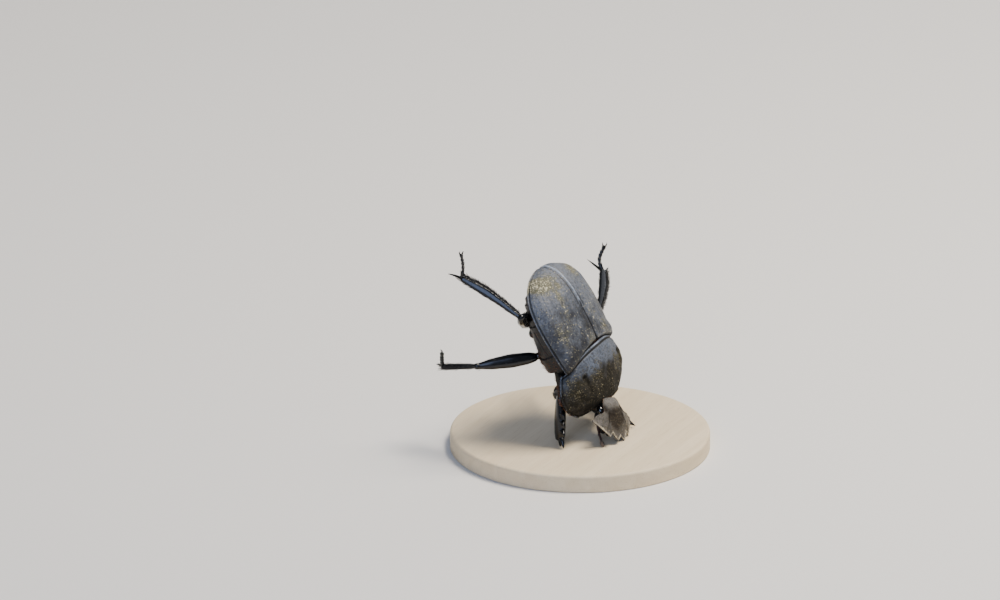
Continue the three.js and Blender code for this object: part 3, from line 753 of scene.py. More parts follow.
def limewood(name):
    """Limewood, turned and finely sanded: pale, close-grained, with faint growth lines."""
    material, tree, where = new_material(name)
    # Growth lines two millimetres apart and pores a fifth of one, both drawn out along the grain.
    coarse, fine = (
        add(tree, "ShaderNodeMapping", {"Vector": where, "Scale": scale, "Rotation": (0, 0, 0.35)})
        for scale in ((0.035, 0.55, 0.55), (0.25, 5.0, 5.0))
    )
    rings = add(tree, "ShaderNodeTexNoise", {"Vector": coarse, "Scale": 1.0, "Distortion": 0.6})
    pores = add(tree, "ShaderNodeTexNoise", {"Vector": fine, "Scale": 1.0, "Detail": 3})
    tints = {"Factor": rings, 6: colour("#cdb894"), 7: colour("#e3d3b4")}
    tint = add(tree, "ShaderNodeMix", tints, data_type="RGBA").outputs[2]
    span = {"Value": pores, "From Min": 0.56, "From Max": 0.75, "To Max": 0.4}
    flecks = {"Factor": add(tree, "ShaderNodeMapRange", span), 6: tint, 7: colour("#b0946a")}
    flecked = add(tree, "ShaderNodeMix", flecks, data_type="RGBA").outputs[2]
    bump = add(tree, "ShaderNodeBump", {"Strength": 0.25, "Distance": 0.04 * MM, "Height": pores})
    return surfaced(material, tree, {"Base Color": flecked, "Roughness": 0.62, "Normal": bump})


def matt_paper(name):
    """Matt studio paper, uncoated: pale and even, so it shows only soft shadows."""
    material, tree, _ = new_material(name)
    return surfaced(material, tree, {"Base Color": colour("#dcdad5"), "Roughness": 0.9})


# The bloom colours below also stand for painted sheen, the rubbed colours for a painted highlight on worn
# edges, and the soil colours for painted shade as well as soil.
WING_CASE = dusty_cuticle(
    "dusty_wing_case_cuticle",
    dark="#111319", bloom="#626872", film="#5e5a3d", soil="#1b1812", rubbed="#9ca8b8",
    grains=("#3a3628", "#e9e0be"), gloss=0.47, shine=0.38,
)
PRONOTUM_SHELL = dusty_cuticle(
    "dusty_pronotum_cuticle",
    dark="#0c0b09", bloom="#5b6370", film="#2c2711", soil="#120e02", rubbed="#a2adbc",
    grains=("#2f2a1b", "#958d70"), gloss=0.52, shine=0.28,
)
HEAD_SHELL = dusty_cuticle(
    "scoured_head_cuticle",
    dark="#1d1b18", bloom="#6e6962", film="#3a3019", soil="#181004", rubbed="#c2b699",
    grains=("#352f22", "#8c8062"), gloss=0.42, shine=0.3,
)
LIMB = polished_cuticle(
    "polished_black_limb_cuticle", "#040507", "#1a1c20", gloss=0.2, dust=0.24, shine=0.36
)
UNDERSIDE = polished_cuticle(
    "satin_black_underside_cuticle", "#060504", "#14110d", gloss=0.55, dust=0.3, shine=0.4
)
EYE = polished_cuticle("eye_lens_cuticle", "#040405", "#141518", gloss=0.08, dust=0.1)
FEELER_SKIN = polished_cuticle("russet_feeler_cuticle", "#3a2114", "#7a6450", gloss=0.35, dust=0.6)
CLUB = polished_cuticle("velvety_feeler_club", "#6b5a4a", "#94846f", gloss=0.6, dust=0.6)
BLACK_HAIR = hair_material("black_bristle", "#070605", "#17100b")
RUSSET_HAIR = hair_material("russet_hair", "#3d1c0d", "#b0713a")
SOIL = soil_grains("dry_soil_grains")
WOOD = limewood("sanded_limewood")


# ---------- wing cases ----------

# The tail end lies this much higher than the base; the grooves part a wing case into lanes; its
# wall is this thick.
TAIL_LIFT = 0.6
LANES = 8.2
WALL = 0.8


def wing_profile(t, base, power):
    """Share of the greatest size at the share t of the wing cases' length."""
    widest = ELYTRA["widest"]
    near = 1 - (1 - base) * (np.clip(widest - t, 0, None) / widest) ** 2
    return np.where(t < widest, near, bow(t - widest, 1.002 - widest, power))


def wing_width(t):
    return ELYTRA["half"] * wing_profile(t, 0.921, 2.82)


def wing_rise(t):
    return ELYTRA["rise"] * wing_profile(t, 0.89, 2.56)


def base_scoop(x, t):
    return 1.45 * (1 - np.clip(np.abs(x) / np.maximum(wing_width(t), 0.01), 0, 1) ** 2) * (1 - t) ** 3


# Dust on both wing cases, as spots for patches: x is below 0 on the right one.
WING_DUST = [
    (-5.8, 14.3, 1.3, 1.3, 1.4),
    (-3.4, 14.4, 2.0, 1.1, 0.32),
    (-4.3, 11.6, 0.8, 1.5, 0.4),
    (-2.8, 12.6, 0.7, 0.8, 0.4),
    (-4.9, 8.4, 0.7, 2.2, 0.26),
    (-6.2, 5.9, 0.9, 2.2, 0.2),
    (-1.9, 2.2, 1.8, 1.6, 0.22),
    (-7.9, 5.5, 1.0, 3.4, 0.28),
    (4.6, 13.6, 1.6, 1.6, 0.4),
    (2.6, 6.4, 1.4, 2.4, 0.25),
    (6.8, 8.2, 1.2, 2.6, 0.3),
    (4.4, 2.8, 1.8, 1.4, 0.32),
]


def wing_case(side):
    rows, columns = 240, 150
    t = np.sin(np.linspace(0, math.pi / 2, rows))[:, None]
    angle = np.linspace(math.pi / 2, 0, columns)[None, :]
    w, h = wing_width(t), wing_rise(t)
    x, z = superellipse(w, h, angle, ELYTRA["round"])
    forward = 0.95 * (side < 0) * (x / wing_width(0)) ** 3 * (1 - t) ** 4
    y = t * ELYTRA["length"] + base_scoop(x, t) - forward
    level = TAIL_LIFT * t * t
    points = np.stack([x, y, z + level], axis=-1)
    normals = grid_normals(points)
    from_suture = run_across(points)
    whole = from_suture[:, -1:]
    from_margin = whole - from_suture
    from_base = t * ELYTRA["length"] + 0 * x

    tail = smoothstep(0.3, 0.62, t)
    ridge = tail * hump(from_suture - 0.12, 0.19)
    seam = -0.45 * (1 - smoothstep(0.35, 0.75, t)) * hump(from_suture, 0.2)
    beside = -0.14 * hump(from_suture - 0.6, 0.15) * smoothstep(0.2, 0.5, t)
    share = from_suture / whole
    fade = smoothstep(0.03, 0.12, t) * (1 - smoothstep(0.86, 0.97, t))
    striae = np.zeros_like(x)
    for k in range(1, 7):
        striae -= 0.05 * hump((share - k / LANES) * whole, 0.085)
    ribs = 0.035 * np.sin(share * LANES * math.pi) ** 2
    bead = 0.09 * hump(from_margin - 0.06, 0.12) - 0.15 * hump(from_margin - 0.32, 0.12)
    keel = 0.05 * hump(from_margin - 0.66, 0.13)
    shoulder = 0.3 * hump(from_base - 1.5, 1.1) * hump(from_margin - 2.3, 1.0)
    knob = 0.16 * hump(from_base - 14.4, 1.0) * hump(from_margin - 2.8, 1.2)
    rounding = -0.3 * (1 - smoothstep(0, 0.5, from_base)) ** 2
    seed = 3 if side > 0 else 4
    swell = 0.035 * wavy(points, 3.5, seed) + 0.008 * wavy(points, 0.6, seed + 10)
    relief = 0.18 * ridge + seam + beside + fade * (striae + ribs) + bead + keel + shoulder + knob
    tip = smoothstep(1.0, 0.985, t)
    outer = points + normals * ((relief + rounding + swell) * tip)[..., None]
    outer[..., 0] = np.maximum(outer[..., 0], 0.012 + 0.08 * (1 - smoothstep(0.05, 0.5, t)))

    # The edge folds under, and a wall WALL thick runs back below the outer skin.
    inset = np.minimum(WALL, 0.65 * w)
    fold = []
    for inward, down in ((0.1, 0.16), (0.32, 0.3), (0.6, 0.26), (0.9, 0.08)):
        fx = w - inset * inward
        fy = t * ELYTRA["length"] + base_scoop(fx, t)
        fold.append(np.stack([fx, fy, level - down * inset], axis=-1))
    inner_angle = np.linspace(0, math.pi / 2, 24)[None, :]
    ix, iz = superellipse(w - inset, np.maximum(h - WALL, 0.35 * h), inner_angle, ELYTRA["round"])
    ix = np.maximum(ix, 0.05)
    iy = t * (ELYTRA["length"] - WALL) + base_scoop(ix, t)
    inner = np.stack([ix, iy, level + iz], axis=-1)
    rings = np.concatenate([outer, *fold, inner], axis=1)

    # Painted shade: the soil mark darkens the groove inside the margin, the front of the suture and the
    # base edge under the pronotum.
    groove = hump(from_margin - 0.32, 0.17)
    groove = groove + 1.6 * hump(from_suture, 0.26) * (1 - smoothstep(0.4, 0.75, t))
    # Painted sheen and shade: the bloom is raised on the suture ridge, the keel and the margin bead, on
    # the body's left wing case and towards the tail, where the light falls, and lowered in the hollow
    # beside the ridge.
    bloom = 0.36 + 0.12 * (side > 0) + 1.1 * ridge
    bloom = bloom + 0.12 * hump(from_margin - 0.66, 0.13) + 0.2 * hump(from_margin, 0.12)
    bloom = bloom + 0.12 * patches(side * x, y, [(-5.0, 4.0, 2.0, 2.5, 1), (4.0, 9.0, 2.5, 5.0, 1.5)])
    bloom = bloom - 0.45 * tail * hump(from_suture - 0.62, 0.17) + 0.42 * smoothstep(0.25, 0.85, t)
    dust = patches(side * x, y, WING_DUST) + 0.12 * hump(from_base, 1.0) + 0.1 * smoothstep(0.4, 0.9, t)
    soil = 0.5 * groove + 0.4 * hump(from_base, 0.35)
    # Painted highlight and wear: the rub mark lays a pale edge along the suture ridge and the margin.
    rub = 0.52 * tail * hump(from_suture - 0.1, 0.13) + 0.18 * hump(from_margin - 0.05, 0.1)
    marks = skin_marks(rings, np.s_[:, :columns], 0.1, bloom=bloom, dust=dust, soil=soil, rub=rub)
    rings[..., 0] *= side
    name = "left" if side > 0 else "right"
    shell = closed_grid(rings)
    make_piece(f"wing_case_{name}", shell, HIND, WING_CASE, [f"elytron_{name}"], marks)
    edge = (np.arange(rings.shape[1]) == columns + 1)[None, :] & (t > 0.05) & (t < 0.97)
    plant_on(
        HIND, rings, edge, 60, lie=(side * 0.6, 1, -0.8), reach=0.45, rise=0.2, spread=0.2, seed=seed
    )
    top = (slice(8, rows - 6, 3), slice(4, columns - 6, 3))
    return outer[top] * [side, 1, 1], np.clip(dust - 0.12, 0, 1)[top]


wing_tops = [wing_case(1), wing_case(-1)]


# ---------- trunk under the wing cases ----------


def belly_depth(t):
    return BELLY["depth"] * bow(t - BELLY["deepest"], 1.04 - BELLY["deepest"], 2)


BELLY_SEAMS = [0.58, 0.66, 0.735, 0.81, 0.87]


def trunk(name, start, end, rows, node, seams, dome=0.25):
    """A length of the trunk, with the laps between its belly plates at the shares in seams."""
    t = np.linspace(start, end, rows)[:, None]
    clear = 0.9
    w = np.maximum(wing_width(t) - clear, 0.34 * wing_width(t))
    h = np.maximum(wing_rise(t) - clear - 0.1, 0.3 * wing_rise(t))
    over = np.linspace(0, math.pi, 30)[None, :]
    under = np.linspace(math.pi, 2 * math.pi, 180)[None, 1:-1]
    tx, tz = superellipse(w, h, over, ELYTRA["round"])
    power = 2.8 - 0.9 * np.clip(t / 0.5, 0, 1)
    ux, uz = superellipse(w, belly_depth(t), under, power)
    x = np.concatenate([tx, ux], axis=1)
    z = np.concatenate([tz, uz], axis=1) + TAIL_LIFT * t * t - 0.1
    y = t * (ELYTRA["length"] - clear) + base_scoop(x, t)
    rings = np.stack([x, y, z], axis=-1)
    normals = outward_normals(rings)
    below = smoothstep(0.1, -0.6, z)
    lap = np.zeros_like(x)
    bend = 0.35 * (x / 8) ** 2
    for seam in seams:
        d = (t - seam) * ELYTRA["length"] + bend
        lap += np.where(d < 0, 0.2 * np.exp(d / 0.8), -0.16 * np.exp(-d / 0.5)) - 0.12 * hump(d, 0.08)
    side_line = -0.18 * hump(z + 1.35 + 0.06 * y, 0.1) * (t < 0.5)
    middle = -0.12 * hump(x, 0.16) * (t < 0.45)
    pits = -0.05 * smoothstep(0.75, 1.1, wavy(rings, 0.5, 23))
    relief = below * (lap + side_line + middle + pits + 0.04 * wavy(rings, 1.8, 21))
    rings = rings + normals * relief[..., None]
    head_end = domed(rings[0], (0, -1, 0), dome)[::-1]
    tail_end = domed(rings[-1], (0, 1, 0), dome)
    whole = np.concatenate([head_end, rings, tail_end])
    make_piece(name, closed_grid(whole), HIND, UNDERSIDE, [node])
    return rings, t + 0 * x, below


breast, t, below = trunk("breast_plates", 0.0, 0.497, 110, "thorax", [0.2])
sides = (below > 0.9) & (np.abs(breast[..., 0]) > 3.0)
plant_on(HIND, breast, sides, 420, lie=(0, 1, -0.2), reach=0.75, rise=0.5, spread=0.3, seed=51)
plant_on(
    HIND, breast, sides & (t < 0.14), 260, lie=(0, 0.4, -1), reach=0.9, rise=0.9, spread=0.35, seed=52
)
belly, t, below = trunk("belly_plates", 0.5, 0.905, 120, "abdomen", BELLY_SEAMS)
for number, seam in enumerate(BELLY_SEAMS):
    row = (below > 0.9) & (np.abs(t - seam + 0.012) < 0.005)
    plant_on(HIND, belly, row, 46, lie=(0, 1, 0), reach=0.42, rise=0.25, spread=0.12, seed=60 + number)
tail, t, below = trunk("tail_plate", 0.908, 0.99, 40, "pygidium", [], dome=0.12)
plant_on(
    HIND, tail, (below > 0.5) & (t > 0.96), 50,
    lie=(0, 1, -0.4), reach=0.5, rise=0.3, spread=0.25, seed=66,
)

waist = ellipsoid((-0.2, 0.2, -0.9), (7.4, 1.5, 3.7), lumps=0.05)
make_piece("waist_membrane", waist, HIND, UNDERSIDE, ["waist"])


# ---------- pronotum ----------


def pronotum_width(s):
    widest, base, front = PRONOTUM["widest"], 0.829, 0.638
    near = 1 - (1 - base) * (np.clip(widest - s, 0, None) / widest) ** 2
    far = 1 - (1 - front) * (np.clip(s - widest, 0, None) / (1 - widest)) ** 2.4
    return PRONOTUM["half"] * np.where(s < widest, near, far)


def pronotum_rise(s):
    highest, base_drop, front = PRONOTUM["highest"], 0.13, 0.708
    near = 1 - base_drop * (np.clip(highest - s, 0, None) / highest) ** 2
    far = 1 - (1 - front) * (np.clip(s - highest, 0, None) / (1 - highest)) ** 2.2
    return PRONOTUM["rise"] * np.where(s < highest, near, far)


def pronotum_y(x, w, s):
    u = (x / w) ** 2
    return -s * PRONOTUM["length"] + 2.1 * (1 - u**1.3) * (1 - s) ** 2 - 0.1 * u * s**2


# Soil and dust on the pronotum, as spots for patches. The soil spots on the two pits, along the
# groove behind the right pit and in the band along the front edge are painted shade.
PRONOTUM_SOIL_AND_SHADE = [
    (0.6, -4.2, 1.6, 2.3, 0.72),
    (-1.6, -6.0, 1.6, 1.4, 0.66),
    (-4.4, -6.6, 2.2, 1.1, 0.52),
    (-7.2, -4.6, 1.2, 1.4, 0.3),
    (-5.97, -1.9, 0.55, 0.5, 0.95),
    (5.97, -1.9, 0.55, 0.5, 0.95),
    (-5.6, -3.1, 0.45, 1.0, 0.6),
    (-5.2, -4.8, 0.8, 1.0, 0.45),
    (3.6, -5.8, 1.8, 1.4, 0.35),
    (6.4, -4.4, 1.2, 1.6, 0.3),
    (0.0, -7.8, 5.0, 0.8, 0.4),
]
PRONOTUM_DUST = [
    (-3.9, -5.2, 1.8, 1.4, 0.36),
    (-7.9, -3.0, 1.1, 2.2, 0.42),
    (-3.2, -2.6, 1.6, 1.4, 0.26),
    (0.8, -5.4, 1.6, 1.8, 0.3),
    (4.4, -3.4, 2.2, 2.0, 0.28),
    (7.6, -2.6, 1.4, 2.4, 0.34),
]


def pronotum():
    rows, top_columns, low_columns = 170, 260, 110
    s = np.linspace(0, 1, rows)[:, None]
    w, h = pronotum_width(s), pronotum_rise(s)
    over = np.linspace(0, math.pi, top_columns)[None, :]
    under = np.linspace(math.pi, 2 * math.pi, low_columns + 2)[None, 1:-1]
    tx, tz = superellipse(w, h, over, PRONOTUM["round"])
    ux = w * np.cos(under)
    keel = np.clip(1 - (ux / w) ** 2, 0, 1) ** 1.2
    uz = -0.25 - 0.14 * LENGTH * (1 - 0.3 * s) * keel
    x = np.concatenate([tx, ux], axis=1)
    z = np.concatenate([tz, uz], axis=1) - 1.5 * s
    points = np.stack([x, pronotum_y(x, w, s), z], axis=-1)
    normals = outward_normals(points)
    across = run_across(points[:, :top_columns])
    from_margin = np.minimum(across, across[:, -1:] - across)
    from_margin = np.concatenate([from_margin, np.full((rows, low_columns), 9.0)], axis=1)
    from_base = s * PRONOTUM["length"] + 0 * x
    from_front = PRONOTUM["length"] - from_base
    on_top = (np.arange(x.shape[1]) < top_columns)[None, :] & (s >= 0)
    y = points[..., 1]

    base_bead = 0.1 * hump(from_base - 0.12, 0.08) - 0.2 * hump(from_base - 0.36, 0.13)
    front_bead = 0.07 * hump(from_front - 0.1, 0.12) - 0.08 * hump(from_front - 0.34, 0.12)
    notches = 0.5 + 0.5 * np.cos(2 * math.pi * from_base / 0.42)
    side_bead = (0.05 + 0.08 * notches) * hump(from_margin - 0.04, 0.13)
    side_bead = side_bead - 0.12 * hump(from_margin - 0.36, 0.14)
    pits = -0.5 * patches(np.abs(x), y, [(5.97, -1.9, 0.5, 0.45, 1)])
    trails = -0.22 * patches(np.abs(x), y, [(5.7, -2.9, 0.38, 0.8, 1), (5.3, -4.1, 0.42, 0.9, 0.9)])
    boss = 0.16 * patches(np.abs(x), y, [(7.0, -2.0, 0.7, 0.9, 1), (6.8, -4.0, 0.9, 1.2, 1)])
    middle = -0.05 * hump(x, 0.2) * smoothstep(2.0, 6.0, from_base)
    dents = -0.12 * patches(np.abs(x), y, [(2.6, -5.4, 1.2, 0.9, 1), (4.2, -3.6, 0.9, 0.8, 0.7)])
    swell = 0.05 * wavy(points, 3.0, 31) + 0.012 * wavy(points, 0.55, 32)
    beads = base_bead + front_bead + side_bead
    relief = np.where(on_top, beads + pits + trails + boss + middle + dents, 0)
    rounded = -0.25 * (1 - smoothstep(0, 0.3, from_base)) ** 2
    shape = points + normals * (relief + swell + rounded)[..., None]

    # Both ends turn in: a thin wall, then a hollow that the neck and the waist enter.
    def mouth(edge, steps_in):
        centre = edge.mean(0)
        return np.stack([centre + (edge - centre) * size + [0, back, 0] for size, back in steps_in])

    back_end = mouth(shape[0], [(0.75, -0.9), (0.9, -0.55), (0.975, -0.1)])
    front_end = mouth(shape[-1], [(0.975, 0.04), (0.93, 0.5), (0.86, 1.4), (0.6, 2.4)])
    rings = np.concatenate([back_end, shape, front_end])

    # Painted sheen: the bloom is heaviest on the high ground by the base, along the side margins and, as a
    # painted highlight, on the base bead, and fades towards the front.
    blue = [(0.6, 0.6, 3.4, 3.0, 1), (-3.5, -0.2, 2.8, 2.6, 0.7), (4.0, -0.2, 3.0, 2.6, 0.6)]
    bloom = 0.5 + 0.4 * patches(x, y, blue) + 0.3 * hump(from_margin, 0.16)
    bloom = bloom + 0.7 * hump(from_base - 0.12, 0.09) - 0.66 * smoothstep(0.4, 6.5, from_base)
    bloom = bloom + 0.1 * wavy(points, 3.5, 33)
    # Painted shade: the soil mark darkens the grooves inside the base and side beads, and its spots the
    # pits and the front edge; it also holds real soil patches and grows towards the front.
    grooves = 1.8 * hump(from_base - 0.38, 0.14) + hump(from_margin - 0.36, 0.18)
    soil = patches(x, y, PRONOTUM_SOIL_AND_SHADE) + 0.4 * grooves + 0.28 * smoothstep(0.8, 6.0, from_base)
    soil = soil + 0.15 * wavy(points, 1.2, 35) * smoothstep(1.0, 4.0, from_base)
    dust = patches(x, y, PRONOTUM_DUST) + 0.06 + 0.08 * smoothstep(1.0, 5.0, from_base)
    dust = dust + 0.1 * wavy(points, 1.6, 34)
    # Painted highlight and wear: the rub mark lays a pale line along the base bead and side margins.
    rub = 0.36 * hump(from_base - 0.1, 0.06) * hump(x, 5.0) + 0.2 * hump(from_margin - 0.04, 0.1)
    upper = np.s_[:, :top_columns]
    marks = skin_marks(
        rings, np.s_[len(back_end) : -len(front_end), :top_columns], 0.0,
        bloom=bloom[upper], dust=dust[upper], soil=soil[upper], rub=rub[upper],
    )
    make_piece("pronotum", closed_grid(rings), FORE, PRONOTUM_SHELL, ["prothorax"], marks)

    column = np.arange(x.shape[1])[None, :]
    below = (column > top_columns + 1) & (column < x.shape[1] - 2)
    for side, band in ((-1, (column == top_columns + 1)), (1, (column == x.shape[1] - 2))):
        edge = band & (s > 0.04) & (s < 0.97)
        plant_on(
            FORE, shape, edge, 150,
            lie=(side, 0.4, -0.3), reach=0.75, rise=0.2, spread=0.2, seed=70 + side,
        )
    plant_on(
        FORE, shape, below & (s > 0.1), 420,
        lie=(0, 0.6, -0.5), reach=0.7, rise=0.7, spread=0.3, seed=73,
    )
    front = on_top & (s > 0.99) & (np.abs(x) < 5.6)
    plant_on(
        FORE, shape - [0, -0.1, 0.1], front, 170,
        lie=(0, -1, -0.5), reach=0.6, rise=0.05, spread=0.2, seed=74,
    )
    base = on_top & (s < 0.004)
    plant_on(
        FORE, shape - [0, 0, 0.15], base, 190,
        lie=(0, 1, -0.25), reach=0.5, rise=0.0, spread=0.15, seed=75,
    )
    top = (slice(6, rows - 4, 3), slice(4, top_columns - 4, 3))
    return shape[top], np.clip(dust - 0.15, 0, 1)[top]


pronotum_top = pronotum()


# ---------- head ----------

# Half of the spade's outline from the notch in the middle of the front edge round to the back: x
# and y as shares of the head's half width and length, and how far the corner is rounded, in mm.
SPADE = [
    (0.0, 0.92, 0.2),
    (0.165, 1.03, 0.08),
    (0.3, 0.92, 0.15),
    (0.36, 0.825, 0.08),
    (0.475, 0.92, 0.1),
    (0.74, 0.71, 0.5),
    (1.0, 0.5, 0.25),
    (0.79, 0.385, 0.5),
    (0.5, 0.34, 0.25),
    (0.41, 0.1, 0.5),
    (0.3, 0.0, 0.4),
]


def rounded_outline(corners, count):
    """A closed outline of (x, y, reach) corners, each rounded over its reach, as count points."""
    corners = np.asarray(corners, float)
    path = []
    for i, (x, y, reach) in enumerate(corners):
        here = np.array([x, y])
        before, after = corners[i - 1][:2] - here, corners[(i + 1) % len(corners)][:2] - here
        a = here + before * min(reach / np.linalg.norm(before), 0.48)
        b = here + after * min(reach / np.linalg.norm(after), 0.48)
        for k in np.linspace(0, 1, 7):
            path.append((1 - k) ** 2 * a + 2 * k * (1 - k) * here + k * k * b)
    path = np.array(path + [path[0]])
    run = np.concatenate([[0], np.cumsum(np.linalg.norm(np.diff(path, axis=0), axis=1))])
    at = np.linspace(0, run[-1], count, endpoint=False)
    return np.stack([np.interp(at, run, path[:, i]) for i in (0, 1)], axis=1)


def head_dome(x, y):
    """The shield's height: a low dome that drops to the sides, without a crease at any tooth."""
    out = np.sqrt((x / (0.98 * HEAD["half"])) ** 2 + ((y + 3.0) / 4.3) ** 2)
    return 0.75 / (1 + (out / 0.8) ** 5) - HEAD["arch"] * (x / HEAD["half"]) ** 2


def head_shield():
    half = [(x * HEAD["half"], -y * HEAD["length"], r) for x, y, r in SPADE]
    other = [(-x, y, r) for x, y, r in reversed(half[1:])]
    outline = rounded_outline(half + other, 460)
    centre = np.array([0, -0.42 * HEAD["length"]])
    inward = np.concatenate([np.linspace(0.02, 0.9, 60), np.linspace(0.91, 1, 14)])
    share = inward[:, None]
    flat = centre + (outline - centre)[None] * share[..., None]
    x, y = flat[..., 0], flat[..., 1]
    ax = np.abs(x)
    z = head_dome(x, y)
    edge = smoothstep(0.88, 0.98, share) * smoothstep(-1.0, -2.5, y)
    z = z + 0.1 * edge
    z = z + 0.5 * patches(x, y, [(0, -1.5, 1.9, 1.5, 1)])
    z = z - 0.16 * patches(x, y, [(0, -5.2, 1.9, 1.2, 1)])
    # The seam that parts each cheek from the middle, and the low ridge across the brow.
    seam = (ax - 1.9) - (-y - 2.4) * 0.4
    front = smoothstep(-2.0, -2.8, y)
    z = z - 0.1 * hump(seam, 0.1) * front * (1 - smoothstep(0.9, 1, share))
    z = z + 0.1 * hump(-y - 3.1 + 0.1 * x * x, 0.2) * smoothstep(2.4, 1.8, ax)
    z = z - 0.3 * patches(ax, y, [(2.5, -1.9, 0.45, 0.8, 1)])
    pts = np.stack([x, y, z], axis=-1)
    pts[..., 2] += 0.03 * wavy(pts, 1.5, 41) + 0.014 * wavy(pts, 0.4, 42)
    low = inward[::-3][:, None]
    under = centre + (outline - centre)[None] * low[..., None]
    bx, by = under[..., 0], under[..., 1]
    bz = head_dome(bx, by) - 0.1 - (HEAD["plate"] + 1.1) * smoothstep(0.97, 0.2, low)
    bottom = np.stack([bx, by, bz], axis=-1)
    rings = np.concatenate([pts, bottom])

    # Painted highlight: the bloom is raised along the front rim.
    rim = smoothstep(0.93, 1.0, share) * smoothstep(-1.5, -3.0, y)
    bloom = 0.5 + 0.5 * rim + 0.3 * patches(x, y, [(0, -1.2, 2.0, 1.1, 1)])
    bloom = bloom + 0.15 * patches(ax, y, [(4.8, -4.2, 1.4, 1.0, 1)])
    dust = 0.08 + 0.42 * patches(x, y, [(0.2, -4.1, 1.9, 1.5, 1)])
    dust = dust + 0.16 * patches(ax, y, [(2.8, -5.6, 1, 1, 1)])
    # The soil spots in the middle are dirt; painted shade darkens the seams beside the cheeks and the dent
    # by each eye.
    soil = 1.1 * patches(x, y, [(-0.8, -3.9, 1.6, 1.8, 1), (1.4, -3.2, 1.3, 1.3, 0.8)])
    soil = soil + 0.3 * hump(seam, 0.16) * front + 0.5 * patches(ax, y, [(2.5, -1.9, 0.5, 0.8, 1)])
    # Painted highlight and wear: the rub mark pales the front edge.
    rub = 0.34 * smoothstep(0.8, 1.0, share) * smoothstep(-2.5, -5.5, y)
    marks = skin_marks(rings, np.s_[: len(pts)], 0.1, bloom=bloom, dust=dust, soil=soil, rub=rub)
    shell = closed_grid(rings)
    make_piece("head_shield", shell, CROWN, HEAD_SHELL, ["head"], marks, sharp=55)

    edge = (np.arange(len(low)) == 3)[:, None] & (by < -2.4)
    plant_on(CROWN, bottom, edge, 150, lie=(0, -0.7, -1), reach=0.5, rise=0.4, spread=0.3, seed=81)
    back = (np.arange(len(inward)) == len(inward) - 4)[:, None] & (y > -2.6)
    plant_on(CROWN, pts, back, 90, lie=(0, 1, 0.3), reach=0.5, rise=0.3, spread=0.3, seed=82)


head_shield()
capsule = joined(
    ellipsoid((0, 0.1, -1.5), (2.65, 2.6, 1.75), lumps=0.03),
    ellipsoid((0, -3.2, -1.6), (2.6, 2.3, 1.25), lumps=0.06),
)
make_piece("head_capsule", capsule, CROWN, UNDERSIDE)
for side, name in ((1, "left"), (-1, "right")):
    eye = ellipsoid((side * 2.8, -1.95, -0.36), (0.62, 0.87, 0.62))
    make_piece(f"eye_lens_{name}", eye, CROWN, EYE, [f"eye_{name}"])


# ---------- limbs ----------


def limb_table(stations):
    return np.array([tuple(s) + (0,) * (4 - len(s)) for s in stations])


def rod(length, stations, power, rows=70):
    """A limb of 36 sides along X from stations of (share, breadth in Y, thickness in Z, bow in Y)."""
    table = limb_table(stations)
    share = np.linspace(0, 1, rows)
    values = [np.interp(share, table[:, 0], table[:, i]) for i in (1, 2, 3)]
    for _ in range(14):
        for v in values:
            v[1:-1] = (v[:-2] + 2 * v[1:-1] + v[2:]) / 4
    ends = np.sqrt(np.clip(1 - (1 - np.minimum(share, 1 - share) / 0.035).clip(0) ** 2, 0.02, 1))
    angle = np.linspace(0, 2 * math.pi, 36, endpoint=False)
    c, s = superellipse(1, 1, angle, power)
    y = values[2][:, None] + 0.5 * (values[0] * ends)[:, None] * c
    z = 0.5 * (values[1] * ends)[:, None] * s
    x = share[:, None] * length + 0 * y
    return closed_grid(np.stack([x, y, z], axis=-1))


def limb_frame(start, end, edge):
    start, end, edge = (np.asarray(v, float) for v in (start, end, edge))
    x = unit(end - start)
    z = unit(np.cross(x, edge))
    return placed(start, np.stack([x, np.cross(z, x), z], axis=1))


